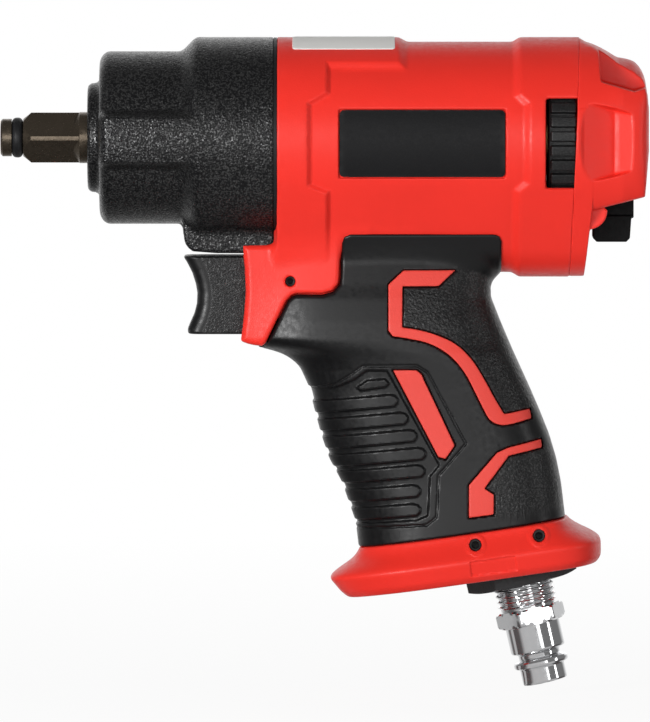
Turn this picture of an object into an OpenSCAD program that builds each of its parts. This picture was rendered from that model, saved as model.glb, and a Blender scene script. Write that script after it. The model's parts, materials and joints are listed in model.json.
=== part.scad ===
// Pneumatic impact wrench with a pistol grip.
// X runs back along the motor axis from the front end of the square drive, Z is up,
// and Y = 0 is the mid-plane. Lengths are in millimetres.

/* [Square drive] */
// Across flats of the drive square
drive_af = 9.525; // [9.4:0.025:9.6]
// Radius that blunts the corners of the square
drive_corner_r = 6.25; // [6:0.05:6.6]
// From the drive's front end to the nose of the hammer case
drive_len = 21.75; // [18:0.25:28]
// Radius of the tip in front of the O-ring
tip_r = 4.7; // [4.2:0.1:4.7]
// Length of the tip in front of the O-ring
tip_len = 2.75; // [2:0.25:4]
// Width of the O-ring
ring_w = 2.8; // [2:0.1:3.5]
// Outer radius of the O-ring
ring_r = 5; // [4.8:0.1:5.4]
// Radius of the O-ring's groove
ring_groove_r = 3.4; // [3:0.1:3.8]
// Radius of the round shank that runs in the bushing
journal_r = 6.4; // [6:0.1:7]

/* [Hammer case] */
// Radius of the nose boss round the drive
nose_r = 13.6; // [12:0.2:15]
// Length of the nose boss
nose_len = 3; // [2:0.25:5]
// How much smaller the front of the case is than the barrel
case_step = 2.3; // [1.5:0.1:3]
// Length of the front of the case
case_front_len = 19.5; // [16:0.5:24]
// Length of the cone between front and rear
case_cone_len = 5.5; // [4:0.5:8]
// Length of the large rear section
case_rear_len = 18.45; // [16:0.5:24]
// Radius of the case's front edge
case_edge_r = 2.75; // [1:0.25:3]
// Wall round the hammers
case_wall = 3.5; // [3.2:0.1:4]
// Thickness of the front wall
case_front_wall = 6.25; // [5:0.25:8]
// Wall of the anvil bushing
bushing_wall = 3.05; // [2:0.05:4]
// Half width of the lug under the case
lug_half_w = 10; // [9:0.5:12]
// Depth of the lug below the motor axis
lug_drop = 28.6; // [27.5:0.1:30]
// Height of the rib along each side
side_rib_h = 11; // [8:0.5:14]
// Length of the rib in front of the cone
side_rib_len = 17; // [12:0.5:18]

/* [Hammers] */
// Length of each hammer along the axis
hammer_len = 10; // [8:0.5:12]
// Room between a hammer and the case
hammer_gap = 2; // [2:0.1:2.4]
// Swing of a hammer each way, in degrees
hammer_swing = 6; // [4:0.5:6]
// Depth of each hammer pin's axis inside the hammer's edge
hammer_pin_in = 3.6; // [3.4:0.1:3.8]
// Radius of a hammer pin
hammer_pin_r = 2; // [1.6:0.1:2]
// Gap between the anvil and a hammer's opening
anvil_gap = 2; // [1.6:0.1:2.4]
// Reach of the anvil's striking ears beyond the opening's half height
ear_reach = 1.2; // [0.2:0.1:1.2]
// Half angle of an ear, in degrees
ear_angle = 16; // [12:1:18]
// Thickness of the cage's front ring
cage_ring_t = 3; // [2:0.25:4]
// Thickness of the cage's rear disc
cage_disc_t = 5.1; // [4:0.1:7]
// Length of the hub behind the disc
cage_hub_len = 2.9; // [2:0.1:5]

/* [Motor] */
// Outer radius of the cylinder and end plates
motor_r = 19; // [18.6:0.05:19.1]
// Length of the cylinder
cylinder_len = 34; // [28:0.5:42]
// Mean wall of the cylinder
cylinder_wall = 3.8; // [3.6:0.1:4.2]
// Drop of the cylinder's bore below the axis
cylinder_offset = 1.2; // [1:0.1:1.3]
// Least gap between the rotor and the cylinder
rotor_gap = 0.4; // [0.4:0.05:1]
// Radius of the rotor's shaft
shaft_r = 4; // [3.6:0.1:4.4]
// Number of vanes
vane_n = 6; // [4:1:8]
// Thickness of a vane
vane_t = 1.6; // [1:0.1:2]
// Thickness of each end plate
plate_t = 7; // [6:0.25:9]
// Width of each ball bearing
bearing_w = 5; // [4:0.25:5]
// Outer radius of each ball bearing
bearing_r = 9; // [8:0.25:10]
// Thickness of the gaskets
gasket_t = 0.8; // [0.5:0.1:1.2]
// Radius of the dowel that lines up the motor
dowel_r = 1.2; // [0.8:0.1:1.3]

/* [Housing] */
// Wall of the barrel round the motor
barrel_wall = 5; // [4.8:0.1:6]
// Rise of the front and rear bands over the barrel
band_rise = 1.3; // [0.6:0.1:1.6]
// Radius of the lobe under the barrel
lobe_r = 14; // [12:0.25:16]
// Depth of the lobe's centre below the axis
lobe_z = 19.6; // [18:0.25:22]
// Length of the front band at the sides
front_band_len = 8; // [6:0.5:12]
// Step of the front band at its shoulders
front_band_step = 4.75; // [2:0.25:7]
// Length of the front band along the top
top_band_len = 32.75; // [20:0.5:40]
// Length of the rear band at the sides
rear_band_len = 12.5; // [11:0.25:16]
// Step of the rear band at its shoulders
rear_band_step = 2.5; // [1:0.25:4]
// Length of the name plate's recess
plate_len = 41.4; // [30:0.2:44]
// Height of the name plate's recess
plate_h = 16.9; // [12:0.1:18]
// Depth of the name plate's recess
plate_depth = 0.8; // [0.4:0.1:1]

/* [Rear end] */
// Length of the reverse valve's bore
valve_len = 22.9; // [20:0.1:28]
// Radius of the reverse valve
valve_r = 7.45; // [6.5:0.05:7.8]
// Wall of the valve's sleeve
sleeve_wall = 2; // [1.4:0.1:2.2]
// Radius of the reverse valve's stem
stem_r = 3; // [2.6:0.1:3.4]
// Width of the power ring
power_ring_w = 6.7; // [5:0.1:9]
// Wall of the power ring's plain part
power_ring_wall = 4.9; // [4.3:0.1:5.9]
// Height of the power ring's pads
power_pad_h = 4.7; // [4.6:0.1:5.4]
// How far the pads' ribs stay inside the barrel
power_pad_in = 0.4; // [0.4:0.1:1.4]
// Half angle of each ribbed pad, in degrees
power_pad_angle = 36; // [30:1:36]
// Angle between ribs, in degrees
power_rib_pitch = 9; // [7:0.5:12]
// Turn of the power ring each way, in degrees
power_turn = 10; // [5:1:10]
// Thickness of the end cap's flange
cap_flange_t = 3.25; // [2.5:0.25:5]
// Length of the end cap's hood behind the flange
hood_len = 14.5; // [13:0.25:18]
// Wall of the hood's rear
hood_wall = 3.2; // [2:0.1:3.4]
// Half width of the direction lever
lever_half_w = 5; // [4:0.25:5]
// Swing of the direction lever each way, in degrees
lever_swing = 16; // [10:1:16]
// Depth of the direction lever's end below the axis
lever_drop = 25.9; // [24:0.1:27]
// Radius of the long bolts through the housing
bolt_r = 1.6; // [1.4:0.1:1.6]
// Wall between the motor and the long bolts
bolt_wall = 0.83; // [0.7:0.01:1.2]
// Angle of the long bolts above the horizontal, in degrees
bolt_angle = 49.9; // [48:0.1:56]

/* [Handle] */
// Thickness of the rubber overmould
grip_t = 2; // [1.5:0.1:2.4]
// How far the overmould stands over the lobe
grip_rise = 0.8; // [0.4:0.1:1.2]
// Exponent of the handle's section
grip_power = 3; // [2.4:0.1:4]
// How far the widest part lies toward the back
grip_bias = 1.3; // [1:0.05:1.6]
// Width of the parting lines
parting = 0.15; // [0.05:0.05:0.3]
// Number of finger ribs on the grip
rib_n = 7; // [3:1:7]
// Pitch of the finger ribs
rib_pitch = 4.45; // [4:0.05:4.5]
// Depth of the grooves between finger ribs
rib_depth = 0.9; // [0.4:0.1:1.2]

/* [Trigger] */
// Half width of the trigger
trigger_half_w = 6.5; // [5.5:0.1:6.6]
// Top of the trigger below the axis
trigger_top = 29.4; // [29:0.1:31]
// Height of the trigger
trigger_h = 19.5; // [17:0.1:19.6]
// Reach of the trigger in front of its pocket's mouth
trigger_reach = 14.8; // [12:0.1:16]
// Radius of the finger hollow
trigger_hollow_r = 16.4; // [14:0.2:24]
// Travel of the trigger
trigger_travel = 5; // [3:0.25:5]
// Radius of the trigger's stem
trigger_stem_r = 4; // [3.4:0.1:4.4]
// Radius of the roll pin that keeps the trigger
roll_pin_r = 1.25; // [1:0.05:1.5]
// Depth of the throttle bore below the axis
throttle_z = 35.4; // [35:0.1:36]
// Radius of the throttle bore
throttle_bore_r = 5.8; // [5.4:0.1:6]
// Radius of the push rod
rod_r = 1.5; // [1:0.1:1.8]
// Wire radius of the throttle spring
spring_wire_r = 0.45; // [0.3:0.05:0.6]
// Number of coils in the throttle spring
spring_coils = 5; // [3:1:6]

/* [Base and inlet] */
// Tilt of the base, in degrees
base_tilt = 8.4; // [4:0.2:12]
// Height of the base collar
collar_h = 12; // [10.5:0.25:14]
// Height of the collar's rim
rim_h = 5.6; // [4:0.1:6]
// Floor of the collar
collar_floor = 2; // [1.5:0.1:2.5]
// Thickness of the muffler
muffler_t = 3; // [2:0.1:4]
// Radius of the collar's pins
collar_pin_r = 1.5; // [1.2:0.05:1.6]
// Tilt of the air inlet, in degrees
inlet_tilt = 13; // [10:0.5:14]
// Across flats of the inlet bushing's hexagon
bushing_af = 24; // [22:0.5:25]
// Height of the inlet bushing's hexagon
bushing_hex_h = 7; // [5:0.25:7]
// Radius of the inlet bushing's shank
bushing_shank_r = 9.4; // [9:0.1:9.6]
// Length of the inlet bushing's shank
bushing_shank_len = 16; // [12:0.5:20]
// Radius of the plug's thread
plug_thread_r = 7.5; // [6.6:0.05:7.6]
// Length of thread that shows
plug_thread_len = 6.2; // [4:0.1:8]
// Across flats of the plug's hexagon
plug_af = 15.3; // [14:0.1:17]
// Height of the plug's hexagon
plug_hex_h = 4.2; // [3:0.1:6]
// Radius of the plug's body
plug_body_r = 6.85; // [6:0.05:7.2]
// Length of the plug's body
plug_body_len = 6.8; // [5:0.1:9]
// Radius of the plug's locking groove
plug_groove_r = 5.2; // [4.8:0.1:5.6]
// Length of the plug's locking groove
plug_groove_len = 2; // [1.5:0.1:3]
// Length of the plug's collar
plug_collar_len = 1.9; // [1.5:0.1:3]
// Radius of the plug's nose
plug_nose_r = 5.6; // [5:0.1:6]
// Length of the plug's nose
plug_nose_len = 4.2; // [3:0.1:6]
// Radius of the plug's air bore
plug_bore_r = 3.8; // [3:0.1:4.2]

/* [Hidden] */
$fn = 64;
// Overshoot of cutting tools
eps = 0.5;
// Radial gap of a piece that is pressed or glued in place
seat = 0.02;
// Radial gap of a shaft that turns in its bore
run = 0.05;
// Gap between pieces that move past each other
clear = 0.3;
// Far enough to cut right through
far = 200;

// Stations along the axis, from the front
x_nose = drive_len;
x_case = x_nose + nose_len;
x_cone = x_case + case_front_len;
x_rear = x_cone + case_cone_len;
x_gasket = x_rear + case_rear_len;
x_housing = x_gasket + gasket_t;
x_cavity = x_case + case_front_wall;
washer_t = 1;
washer_w = 3.3;
x_cage = x_cavity + washer_t + clear;
x_hammer_1 = x_cage + cage_ring_t + clear;
x_hammer_2 = x_hammer_1 + hammer_len + clear;
x_disc = x_hammer_2 + hammer_len + clear;
x_hub = x_disc + cage_disc_t;
x_hub_end = x_hub + cage_hub_len;
x_plate_1 = x_hub_end + 2 * clear;
x_cylinder = x_plate_1 + plate_t;
x_plate_2 = x_cylinder + cylinder_len;
x_motor_gasket = x_plate_2 + plate_t;
x_motor_end = x_motor_gasket + gasket_t;
x_pocket = x_motor_end + valve_len;
x_cap = x_pocket + power_ring_w + 2 * clear;
x_hood = x_cap + cap_flange_t;
x_end = x_hood + hood_len;

// Radii that follow from fits
barrel_r = motor_r + barrel_wall;
band_r = barrel_r + band_rise;
case_r = barrel_r - case_step;
cavity_r = case_r - case_wall;
cage_r = cavity_r - clear;
hammer_r = cavity_r - hammer_gap;
hammer_pin_z = hammer_r - hammer_pin_in;
hammer_pin_wall = 1.8;
hammer_open_r = hammer_pin_z - hammer_pin_r - hammer_pin_wall;
anvil_core_r = hammer_open_r - anvil_gap;
ear_r = hammer_open_r + ear_reach;
web_gap = 0.2;
web_z = hammer_r + web_gap;
cylinder_bore_r = motor_r - cylinder_wall;
rotor_r = cylinder_bore_r - cylinder_offset - rotor_gap;
power_pad_r = barrel_r - power_pad_in;
power_ring_r = power_pad_r - power_pad_h;
power_ring_bore = power_ring_r - power_ring_wall;
bolt_ring_r = motor_r + bolt_wall + bolt_r;
bolt_y = bolt_ring_r * cos(bolt_angle);
bolt_z = bolt_ring_r * sin(bolt_angle);
bushing_r = journal_r + run + bushing_wall;
hub_r = power_ring_bore - run;
sleeve_r = valve_r + run + sleeve_wall;
rotor_clear = 0.2;

// Places of the housing's parts, measured from its front face
mouth_x = -8.7;
cheek_z = -26.9;
cheek_half_w = 11.8;
pocket_len = 9;
roll_pin_x = 3.35;
sleeve_x = 15.5;
seat_x = 35;
chamber_len = 14;
base_x = 48.6;
base_z = -110.25;
grip_front_x = 15.9;
grip_step_x = 4.8;
grip_top_z = -23.9;
grip_step_z = -39.2;
grip_rear_x = 56.4;
grip_chin = [-2.7, -52.5];
corner = 2;
step_corner = 3;
step_drop = 1.5;
// Front edge of the trigger housing, from the top
mouth_line = [[mouth_x, cheek_z], [mouth_x + 1, -38], [mouth_x - 0.2, -50.1], [mouth_x + 4.2, -52.4]];

// Handle sections: height, front, back and half width
grip_rows = [
    [-22, -12, 76, 15.2],
    [-33, -11.6, 70, 15.7],
    [-36.5, -11.5, 55.2, 15.9],
    [-42, -11.5, 54.2, 16.2],
    [-50, -12, 57.6, 16.4],
    [-53, -4.4, 58.9, 16.4],
    [-57, 5.3, 60.7, 16.4],
    [-62, 7.9, 63, 16.4],
    [-74, 11, 68, 16.6],
    [-86, 16.2, 71, 17],
    [-96, 19.7, 72.2, 17.4],
    [base_z - 5.75, 22, 74, 17.8]
];
// Red lands that show through the rubber: side views from the housing's front face, anticlockwise
lands = [
    [
        [27.8, -36.9], [27.8, -48.3], [29, -49.8], [32.4, -50.3], [37.8, -51.5], [42.8, -54.2],
        [46.8, -58.6], [49.7, -64.1], [52.2, -69.1], [53.7, -71], [56.1, -72], [59, -71.8],
        [63.8, -70.5], [63.2, -68.1], [56.9, -69.3], [54.7, -65.6], [51.9, -60.6], [48.8, -55.6],
        [44.8, -51.8], [39.8, -49.4], [34.9, -48], [31.3, -47.5], [31.4, -37.4], [40.4, -37.4],
        [44.7, -33.4], [31.7, -33.4]
    ],
    [
        [40.3, -80], [42.2, -80.5], [44.5, -77], [36.9, -61], [34.8, -58.2], [29, -58.2]
    ],
    [
        [58, -77.6], [55.1, -78.9], [48, -87], [48, -95.2], [54.2, -94.4], [54.2, -89.4],
        [51.9, -87.9], [58, -79.7], [66.4, -77.9], [66.1, -75.8]
    ]
];
land_in = 0.2;
// Collar sections in the base's own frame: height as a share of rim or collar, front, back, half width
collar_rows = [
    [0, -31, 31.5, 20],
    [rim_h * 0.2, -32.4, 32.9, 21.6],
    [rim_h, -35.2, 33.5, 23],
    [rim_h + (collar_h - rim_h) * 0.28, -32.3, 31.4, 21.4],
    [rim_h + (collar_h - rim_h) * 0.52, -29, 29, 20],
    [rim_h + (collar_h - rim_h) * 0.76, -27.3, 27, 18.8],
    [collar_h, -26.3, 25.8, 18.2]
];
section_n = 32;
// Pins of the collar: places along the base, from its middle
collar_pin_x = [2.2, 18.2];
collar_pin_z = 9.3;
collar_pin_in = 10.5;
// Inlet, in the base's frame
inlet_along = 12.6;
inlet_below = 3.1;
inlet_z = base_z + inlet_along * sin(base_tilt) - inlet_below * cos(base_tilt);
inlet_bore_r = 4.6;
inlet_reach = (-throttle_z - inlet_z) / cos(inlet_tilt);
hex_room_r = bushing_af / 2 / cos(30) + 1;
seal_z = bushing_hex_h + 3;
seal_w = 1.8;
seal_r = bushing_shank_r - 1.2;
plug_in = 9;
plug_stop_r = plug_thread_r - 0.9;

// Anvil and cage
bushing_in = 0.75;
pilot_r = shaft_r - 0.4;
pilot_len = 2;
hex_x = x_disc + pilot_len + eps;

// Screws in the lug under the hammer case
case_screw_r = 1.9;
case_screw_y = 5.5;
case_screw_z = 24.6;
case_head_r = 3.2;
case_head_h = 3;
case_head_in = 1;
case_screw_in = 12;
screw_gap = 0.15;

// Motor
dowel_z = (cylinder_bore_r - cylinder_offset + motor_r) / 2;
vane_root_r = rotor_r * 0.55;
shaft_gap = 0.6;

// Passages from the throttle up to the reverse valve, and from the motor down to the base
passage_in = 6;
passage_r = 2.6;
passage_drop = 5.2;
passage_z = -motor_r - passage_drop;
sleeve_port_x = 26;
exhaust_y = 9.6;
exhaust_r = 2.4;
exhaust_x = 18;
exhaust_in = 4;

// Power ring: middle of its pads below the horizontal, and their openings, in degrees
pad_mid = 5;
pad_gap = 1.5;
pad_root = 1;
window_half_angle = 27;

// Name plate's place from the housing's front face
name_x = 15.6;
name_z = -10;

// Screws and bolts of the end cap
cap_screw_r = 1.5;
cap_screw_y = 8;
cap_screw_z = 28.4;
cap_head_r = 2.6;
cap_head_h = 2;
cap_screw_in = 14;
bolt_head_r = 2.6;
bolt_head_h = 2.8;
bolt_seat_x = x_hood - 1.2;
notch_x = x_hood + 2;
bolt_blind = 2;

// Underside of the end cap's hood, at its front and its rise to the rear
hood_floor = 17.6;
hood_slant = 3.2;

// Direction lever and its detent
x_lever = x_hood + 0.75;
x_arm = x_hood + 1.2;
x_hub_lever = x_hood + 2.3;
x_hub_lever_end = x_hub_lever + 5.4;
lever_head_top = 14.4;
lever_screw_r = 1.5;
detent_r = 1.5;
detent_z = -9;
detent_in = 6.5;

// Trigger and throttle, measured from the housing's front face
trigger_back = mouth_x + 2.2;
stem_end = 9;
rod_in = 3;
poppet_t = 2.8;
poppet_gap = 0.1;
spigot_r = 2;
spigot_len = 3;

// Points of an arc
function arc(cx, cy, r, from, to, n = 5) =
    [for (i = [0 : n]) let (a = from + (to - from) * i / n) [cx + r * cos(a), cy + r * sin(a)]];

// Half width of a section at a share t of its length
function section_y(t, half_w) =
    half_w * pow(max(0, 1 - pow(abs(2 * pow(t, grip_bias) - 1), grip_power)), 1 / grip_power);

// An anticlockwise outline drawn in by a distance
function drawn_in(p, d) =
    [for (i = [0 : len(p) - 1])
        let (
            a = p[i] - p[(i + len(p) - 1) % len(p)],
            b = p[(i + 1) % len(p)] - p[i],
            n = [a[1], -a[0]] / norm(a),
            m = [b[1], -b[0]] / norm(b)
        )
        p[i] - d * (n + m) / (1 + n * m)];

// One ring of a loft from its row, drawn in by an inset
function ring(row, inset) =
    let (
        front = row[1] + inset,
        back = row[2] - inset,
        half_w = row[3] - inset,
        half_n = section_n / 2
    )
    [for (i = [0 : section_n - 1])
        let (
            side = i < half_n ? 1 : -1,
            step = i < half_n ? i : section_n - i,
            t = (1 - cos(180 * step / half_n)) / 2
        )
        [front + (back - front) * t, side * section_y(t, half_w), row[0]]];

// A closed skin through the rings, top row first or bottom row first
module loft(rows, inset = 0) {
    n = section_n;
    last = len(rows) - 1;
    points = [for (row = rows) each ring(row, inset)];
    walls = [for (k = [0 : last - 1], i = [0 : n - 1])
        let (j = (i + 1) % n)
        each [[k * n + i, k * n + j, (k + 1) * n + i], [k * n + j, (k + 1) * n + j, (k + 1) * n + i]]];
    lid = [for (i = [n - 1 : -1 : 0]) i];
    foot = [for (i = [0 : n - 1]) last * n + i];
    rising = rows[last][0] > rows[0][0];
    faces = concat(walls, [lid, foot]);
    polyhedron(points, rising ? faces : [for (f = faces) [for (i = [len(f) - 1 : -1 : 0]) f[i]]]);
}

// Local Z along +X, local X down
module on_x(x, y = 0, z = 0) {
    translate([x, y, z]) rotate([0, 90, 0]) children();
}

module rod_x(from, to, r, y = 0, z = 0) {
    on_x(from, y, z) cylinder(r = r, h = to - from);
}

module tube_x(from, to, r_out, r_in) {
    difference() {
        rod_x(from, to, r_out);
        rod_x(from - eps, to + eps, r_in);
    }
}

// Turned about the motor axis from points of [x, radius]
module turned(points) {
    rotate([0, 90, 0]) rotate_extrude() polygon([for (p = points) [p[1], p[0]]]);
}

// A side view of [x, z] points, drawn out to both sides
module side_plate(points, half_w) {
    rotate([90, 0, 0]) linear_extrude(2 * half_w, center = true) polygon(points);
}

module both_sides() {
    children();
    mirror([0, 1, 0]) children();
}

// Measured from the housing's front face
module at_housing() {
    translate([x_housing, 0, 0]) children();
}

// The base's own frame: X along the base, Z up the handle, at the middle of its underside
module at_base() {
    translate([x_housing + base_x, 0, base_z]) rotate([0, -base_tilt, 0]) children();
}

// The inlet's own frame: Z up the inlet's axis, at the middle of the bushing's underside
module at_inlet() {
    at_base() translate([inlet_along, 0, -inlet_below]) rotate([0, base_tilt - inlet_tilt, 0]) children();
}

// Space above a height in the base's frame
module above_base(z) {
    at_base() translate([-far / 2, -far / 2, z]) cube([far, far, far]);
}

// The barrel's section: a circle and a lobe under it
module barrel_outline(rise) {
    hull() {
        circle(barrel_r + rise);
        translate([lobe_z, 0]) circle(lobe_r + rise);
    }
}

module barrel(from, to, rise) {
    on_x(from) linear_extrude(to - from) barrel_outline(rise);
}

module anvil() {
    tip_edge = 0.5;
    lead_len = 2;
    runout_len = 1.5;
    shank_show = 2;
    collar_r = ear_r - clear;
    x_square = tip_len + ring_w + 2 * run;
    x_shank = x_nose - shank_show;
    x_runout = x_shank - runout_len;
    x_collar = x_cavity + washer_t + clear / 2;
    x_core = x_hammer_1 - clear;
    x_pilot = x_disc - clear;
    x_foot = x_disc + pilot_len;
    color("#4a423a") union() {
        turned([[0, 0], [0, tip_r - tip_edge], [tip_edge, tip_r], [tip_len, tip_r], [tip_len, ring_groove_r],
            [x_square + eps, ring_groove_r], [x_square + eps, 0]]);
        intersection() {
            on_x(x_square) rotate(45)
                translate([-drive_af / 2, -drive_af / 2, 0]) cube([drive_af, drive_af, x_shank - x_square]);
            turned([[x_square, 0], [x_square, tip_r], [x_square + lead_len, drive_corner_r],
                [x_shank, drive_corner_r], [x_shank, 0]]);
        }
        turned([[x_runout, 0], [x_runout, drive_af / 2], [x_shank, journal_r], [x_collar, journal_r],
            [x_collar, collar_r], [x_core, collar_r], [x_core, anvil_core_r],
            [x_pilot, anvil_core_r], [x_pilot, pilot_r], [x_foot, pilot_r], [x_foot, 0]]);
        ear(x_hammer_1, 1);
        ear(x_hammer_2, -1);
    }
}

// One striking ear of the anvil, on one side
module ear(x, side) {
    on_x(x) linear_extrude(hammer_len) intersection() {
        circle(ear_r);
        polygon([[0, 0], for (s = [-1, 1]) 2 * ear_r * [s * sin(ear_angle), side * cos(ear_angle)]]);
    }
}

module anvil_o_ring() {
    half = ring_w / 2;
    x_mid = tip_len + run + half;
    edge = 1.2;
    color("#1b1b1b") turned(concat(
        [[x_mid + half, ring_groove_r + seat], [x_mid - half, ring_groove_r + seat]],
        arc(x_mid - half + edge, ring_r - edge, edge, 180, 90),
        arc(x_mid + half - edge, ring_r - edge, edge, 90, 0)));
}

module anvil_bushing() {
    color("#b08d4f") tube_x(x_nose + bushing_in, x_cavity, bushing_r, journal_r + run);
}

module hammer_case() {
    nose_edge = 1;
    nose_gap = 0.5;
    rib_x = x_cone - side_rib_len;
    rib_z = 1;
    rib_lead = 4;
    rib_sink = 2;
    lug_x = x_cone + 1;
    lug_corner = 3.5;
    lug_root = -case_r + 4;
    color("#2c2d2f") difference() {
        union() {
            turned(concat(
                [[x_gasket, 0], [x_nose, 0]],
                arc(x_nose + nose_edge, nose_r - nose_edge, nose_edge, 180, 90, 3),
                [[x_case, nose_r]],
                arc(x_case + case_edge_r, case_r - case_edge_r, case_edge_r, 180, 90),
                [[x_cone, case_r], [x_rear, band_r], [x_gasket, band_r]]));
            intersection() {
                translate([0, 0, -rib_z]) linear_extrude(side_rib_h, center = true)
                    polygon([[rib_x, case_r - rib_sink], [rib_x + rib_lead, band_r], [x_rear, band_r],
                        [x_rear, -band_r], [rib_x + rib_lead, -band_r], [rib_x, -case_r + rib_sink]]);
                turned([[rib_x - eps, 0], [rib_x - eps, band_r], [x_gasket, band_r], [x_gasket, 0]]);
            }
            side_plate(concat(
                [[lug_x, lug_root]],
                arc(lug_x + lug_corner, -lug_drop + lug_corner, lug_corner, 180, 270),
                [[x_gasket, -lug_drop], [x_gasket, lug_root]]), lug_half_w);
        }
        rod_x(x_nose - eps, x_cavity, journal_r + nose_gap);
        rod_x(x_nose + bushing_in, x_cavity + eps, bushing_r + seat);
        rod_x(x_cavity, x_gasket + eps, cavity_r);
        rod_x(x_plate_1, x_gasket + eps, motor_r + seat);
        both_sides() {
            rod_x(x_rear + bolt_blind, x_gasket + eps, bolt_r + seat, bolt_y, bolt_z);
            rod_x(x_cone - eps, x_gasket + eps, case_screw_r + seat, case_screw_y, -case_screw_z);
            rod_x(x_cone - eps, x_rear + case_head_in + case_head_h, case_head_r + clear,
                case_screw_y, -case_screw_z);
        }
    }
}

module thrust_washer() {
    color("#9a9a96") tube_x(x_cavity, x_cavity + washer_t,
        journal_r + clear + washer_w, journal_r + clear);
}

module hammer_cage() {
    hub_out_r = shaft_r + 4;
    color("#6d6a66") difference() {
        union() {
            rod_x(x_cage, x_cage + cage_ring_t, cage_r);
            intersection() {
                rod_x(x_cage, x_hub, cage_r);
                for (s = [-1, 1])
                    translate([x_cage, -cage_r, s > 0 ? web_z : -cage_r])
                        cube([x_hub - x_cage, 2 * cage_r, cage_r - web_z]);
            }
            rod_x(x_disc, x_hub, cage_r);
            rod_x(x_hub - eps, x_hub_end, hub_out_r);
        }
        rod_x(x_cage - eps, x_cage + cage_ring_t + eps, ear_r + clear);
        rod_x(x_disc - eps, hex_x, pilot_r + run);
        on_x(hex_x - run) cylinder(r = shaft_r + run, h = x_hub_end - x_disc, $fn = 6);
        for (s = [-1, 1]) rod_x(x_cage - eps, x_hub + eps, hammer_pin_r + seat, 0, s * hammer_pin_z);
    }
}

// A hammer that swings on the pin at height s * hammer_pin_z and is notched for the other pin
module hammer(x, s) {
    flat = hammer_r - 0.4;
    open_y = 3.2;
    notch = hammer_pin_r + 2 * hammer_pin_z * sin(hammer_swing) + clear;
    color("#57534e") difference() {
        intersection() {
            rod_x(x, x + hammer_len, hammer_r);
            translate([x - eps, -hammer_r, -flat]) cube([hammer_len + 2 * eps, 2 * hammer_r, 2 * flat]);
        }
        both_sides() rod_x(x - eps, x + hammer_len + eps, hammer_open_r, open_y);
        translate([x - eps, -open_y, -hammer_open_r])
            cube([hammer_len + 2 * eps, 2 * open_y, 2 * hammer_open_r]);
        rod_x(x - eps, x + hammer_len + eps, hammer_pin_r + run, 0, s * hammer_pin_z);
        translate([x - eps, -notch, s > 0 ? -hammer_r - eps : hammer_pin_z - hammer_pin_r - clear])
            cube([hammer_len + 2 * eps, 2 * notch, hammer_r - hammer_pin_z + hammer_pin_r + clear + eps]);
    }
}

module front_hammer() {
    hammer(x_hammer_1, 1);
}

module rear_hammer() {
    hammer(x_hammer_2, -1);
}

module hammer_pins() {
    color("#8c8a86") for (s = [-1, 1]) rod_x(x_cage, x_hub, hammer_pin_r, 0, s * hammer_pin_z);
}

module case_gasket() {
    inset = 0.3;
    color("#3a3a38") difference() {
        union() {
            rod_x(x_gasket, x_housing, band_r - inset);
            translate([x_gasket, -lug_half_w + inset, -lug_drop + inset])
                cube([gasket_t, 2 * (lug_half_w - inset), lug_drop - case_r + 4]);
        }
        rod_x(x_gasket - eps, x_housing + eps, motor_r + seat);
        both_sides() {
            rod_x(x_gasket - eps, x_housing + eps, bolt_r + seat, bolt_y, bolt_z);
            rod_x(x_gasket - eps, x_housing + eps, case_screw_r + seat, case_screw_y, -case_screw_z);
        }
    }
}

module socket_screw(from, head_h, head_r, shank_r, to, socket_af) {
    difference() {
        union() {
            rod_x(from, from + head_h, head_r);
            rod_x(from + head_h - eps, to, shank_r);
        }
        on_x(from - eps) cylinder(d = socket_af / cos(30), h = head_h * 0.6 + eps, $fn = 6);
    }
}

module case_screws() {
    color("#3b3b3d") both_sides() translate([0, case_screw_y, -case_screw_z])
        socket_screw(x_rear + case_head_in, case_head_h, case_head_r, case_screw_r,
            x_housing + case_screw_in, 3);
}

module end_plate(x, pocket_x) {
    difference() {
        rod_x(x, x + plate_t, motor_r);
        rod_x(x - eps, x + plate_t + eps, shaft_r + shaft_gap);
        rod_x(pocket_x, x + plate_t + eps, bearing_r + seat);
        rod_x(x - eps, x + plate_t + eps, dowel_r + seat, 0, dowel_z);
    }
}

module front_end_plate() {
    color("#8f8f8c") end_plate(x_plate_1, x_cylinder - bearing_w - eps);
}

module front_bearing() {
    bearing(x_cylinder - bearing_w - eps);
}

// A sealed ball bearing, with its seals' recesses
module bearing(x) {
    race_t = 1.3;
    seal_in = shaft_r + race_t;
    seal_out = bearing_r - race_t;
    seal_depth = 0.3;
    color("#c2c4c6") difference() {
        tube_x(x, x + bearing_w, bearing_r, shaft_r + run);
        for (face = [x - eps, x + bearing_w - seal_depth])
            tube_x(face, face + seal_depth + eps, seal_out, seal_in);
    }
}

module cylinder_liner() {
    port_r = 1.6;
    port_n = 5;
    port_pitch = cylinder_len / (port_n + 1);
    color("#84837f") difference() {
        rod_x(x_cylinder, x_plate_2, motor_r);
        rod_x(x_cylinder - eps, x_plate_2 + eps, cylinder_bore_r, 0, -cylinder_offset);
        rod_x(x_cylinder - eps, x_plate_2 + eps, dowel_r + seat, 0, dowel_z);
        for (i = [1 : port_n])
            translate([x_cylinder + i * port_pitch, 0, -motor_r - eps]) cylinder(r = port_r, h = motor_r);
    }
}

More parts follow.
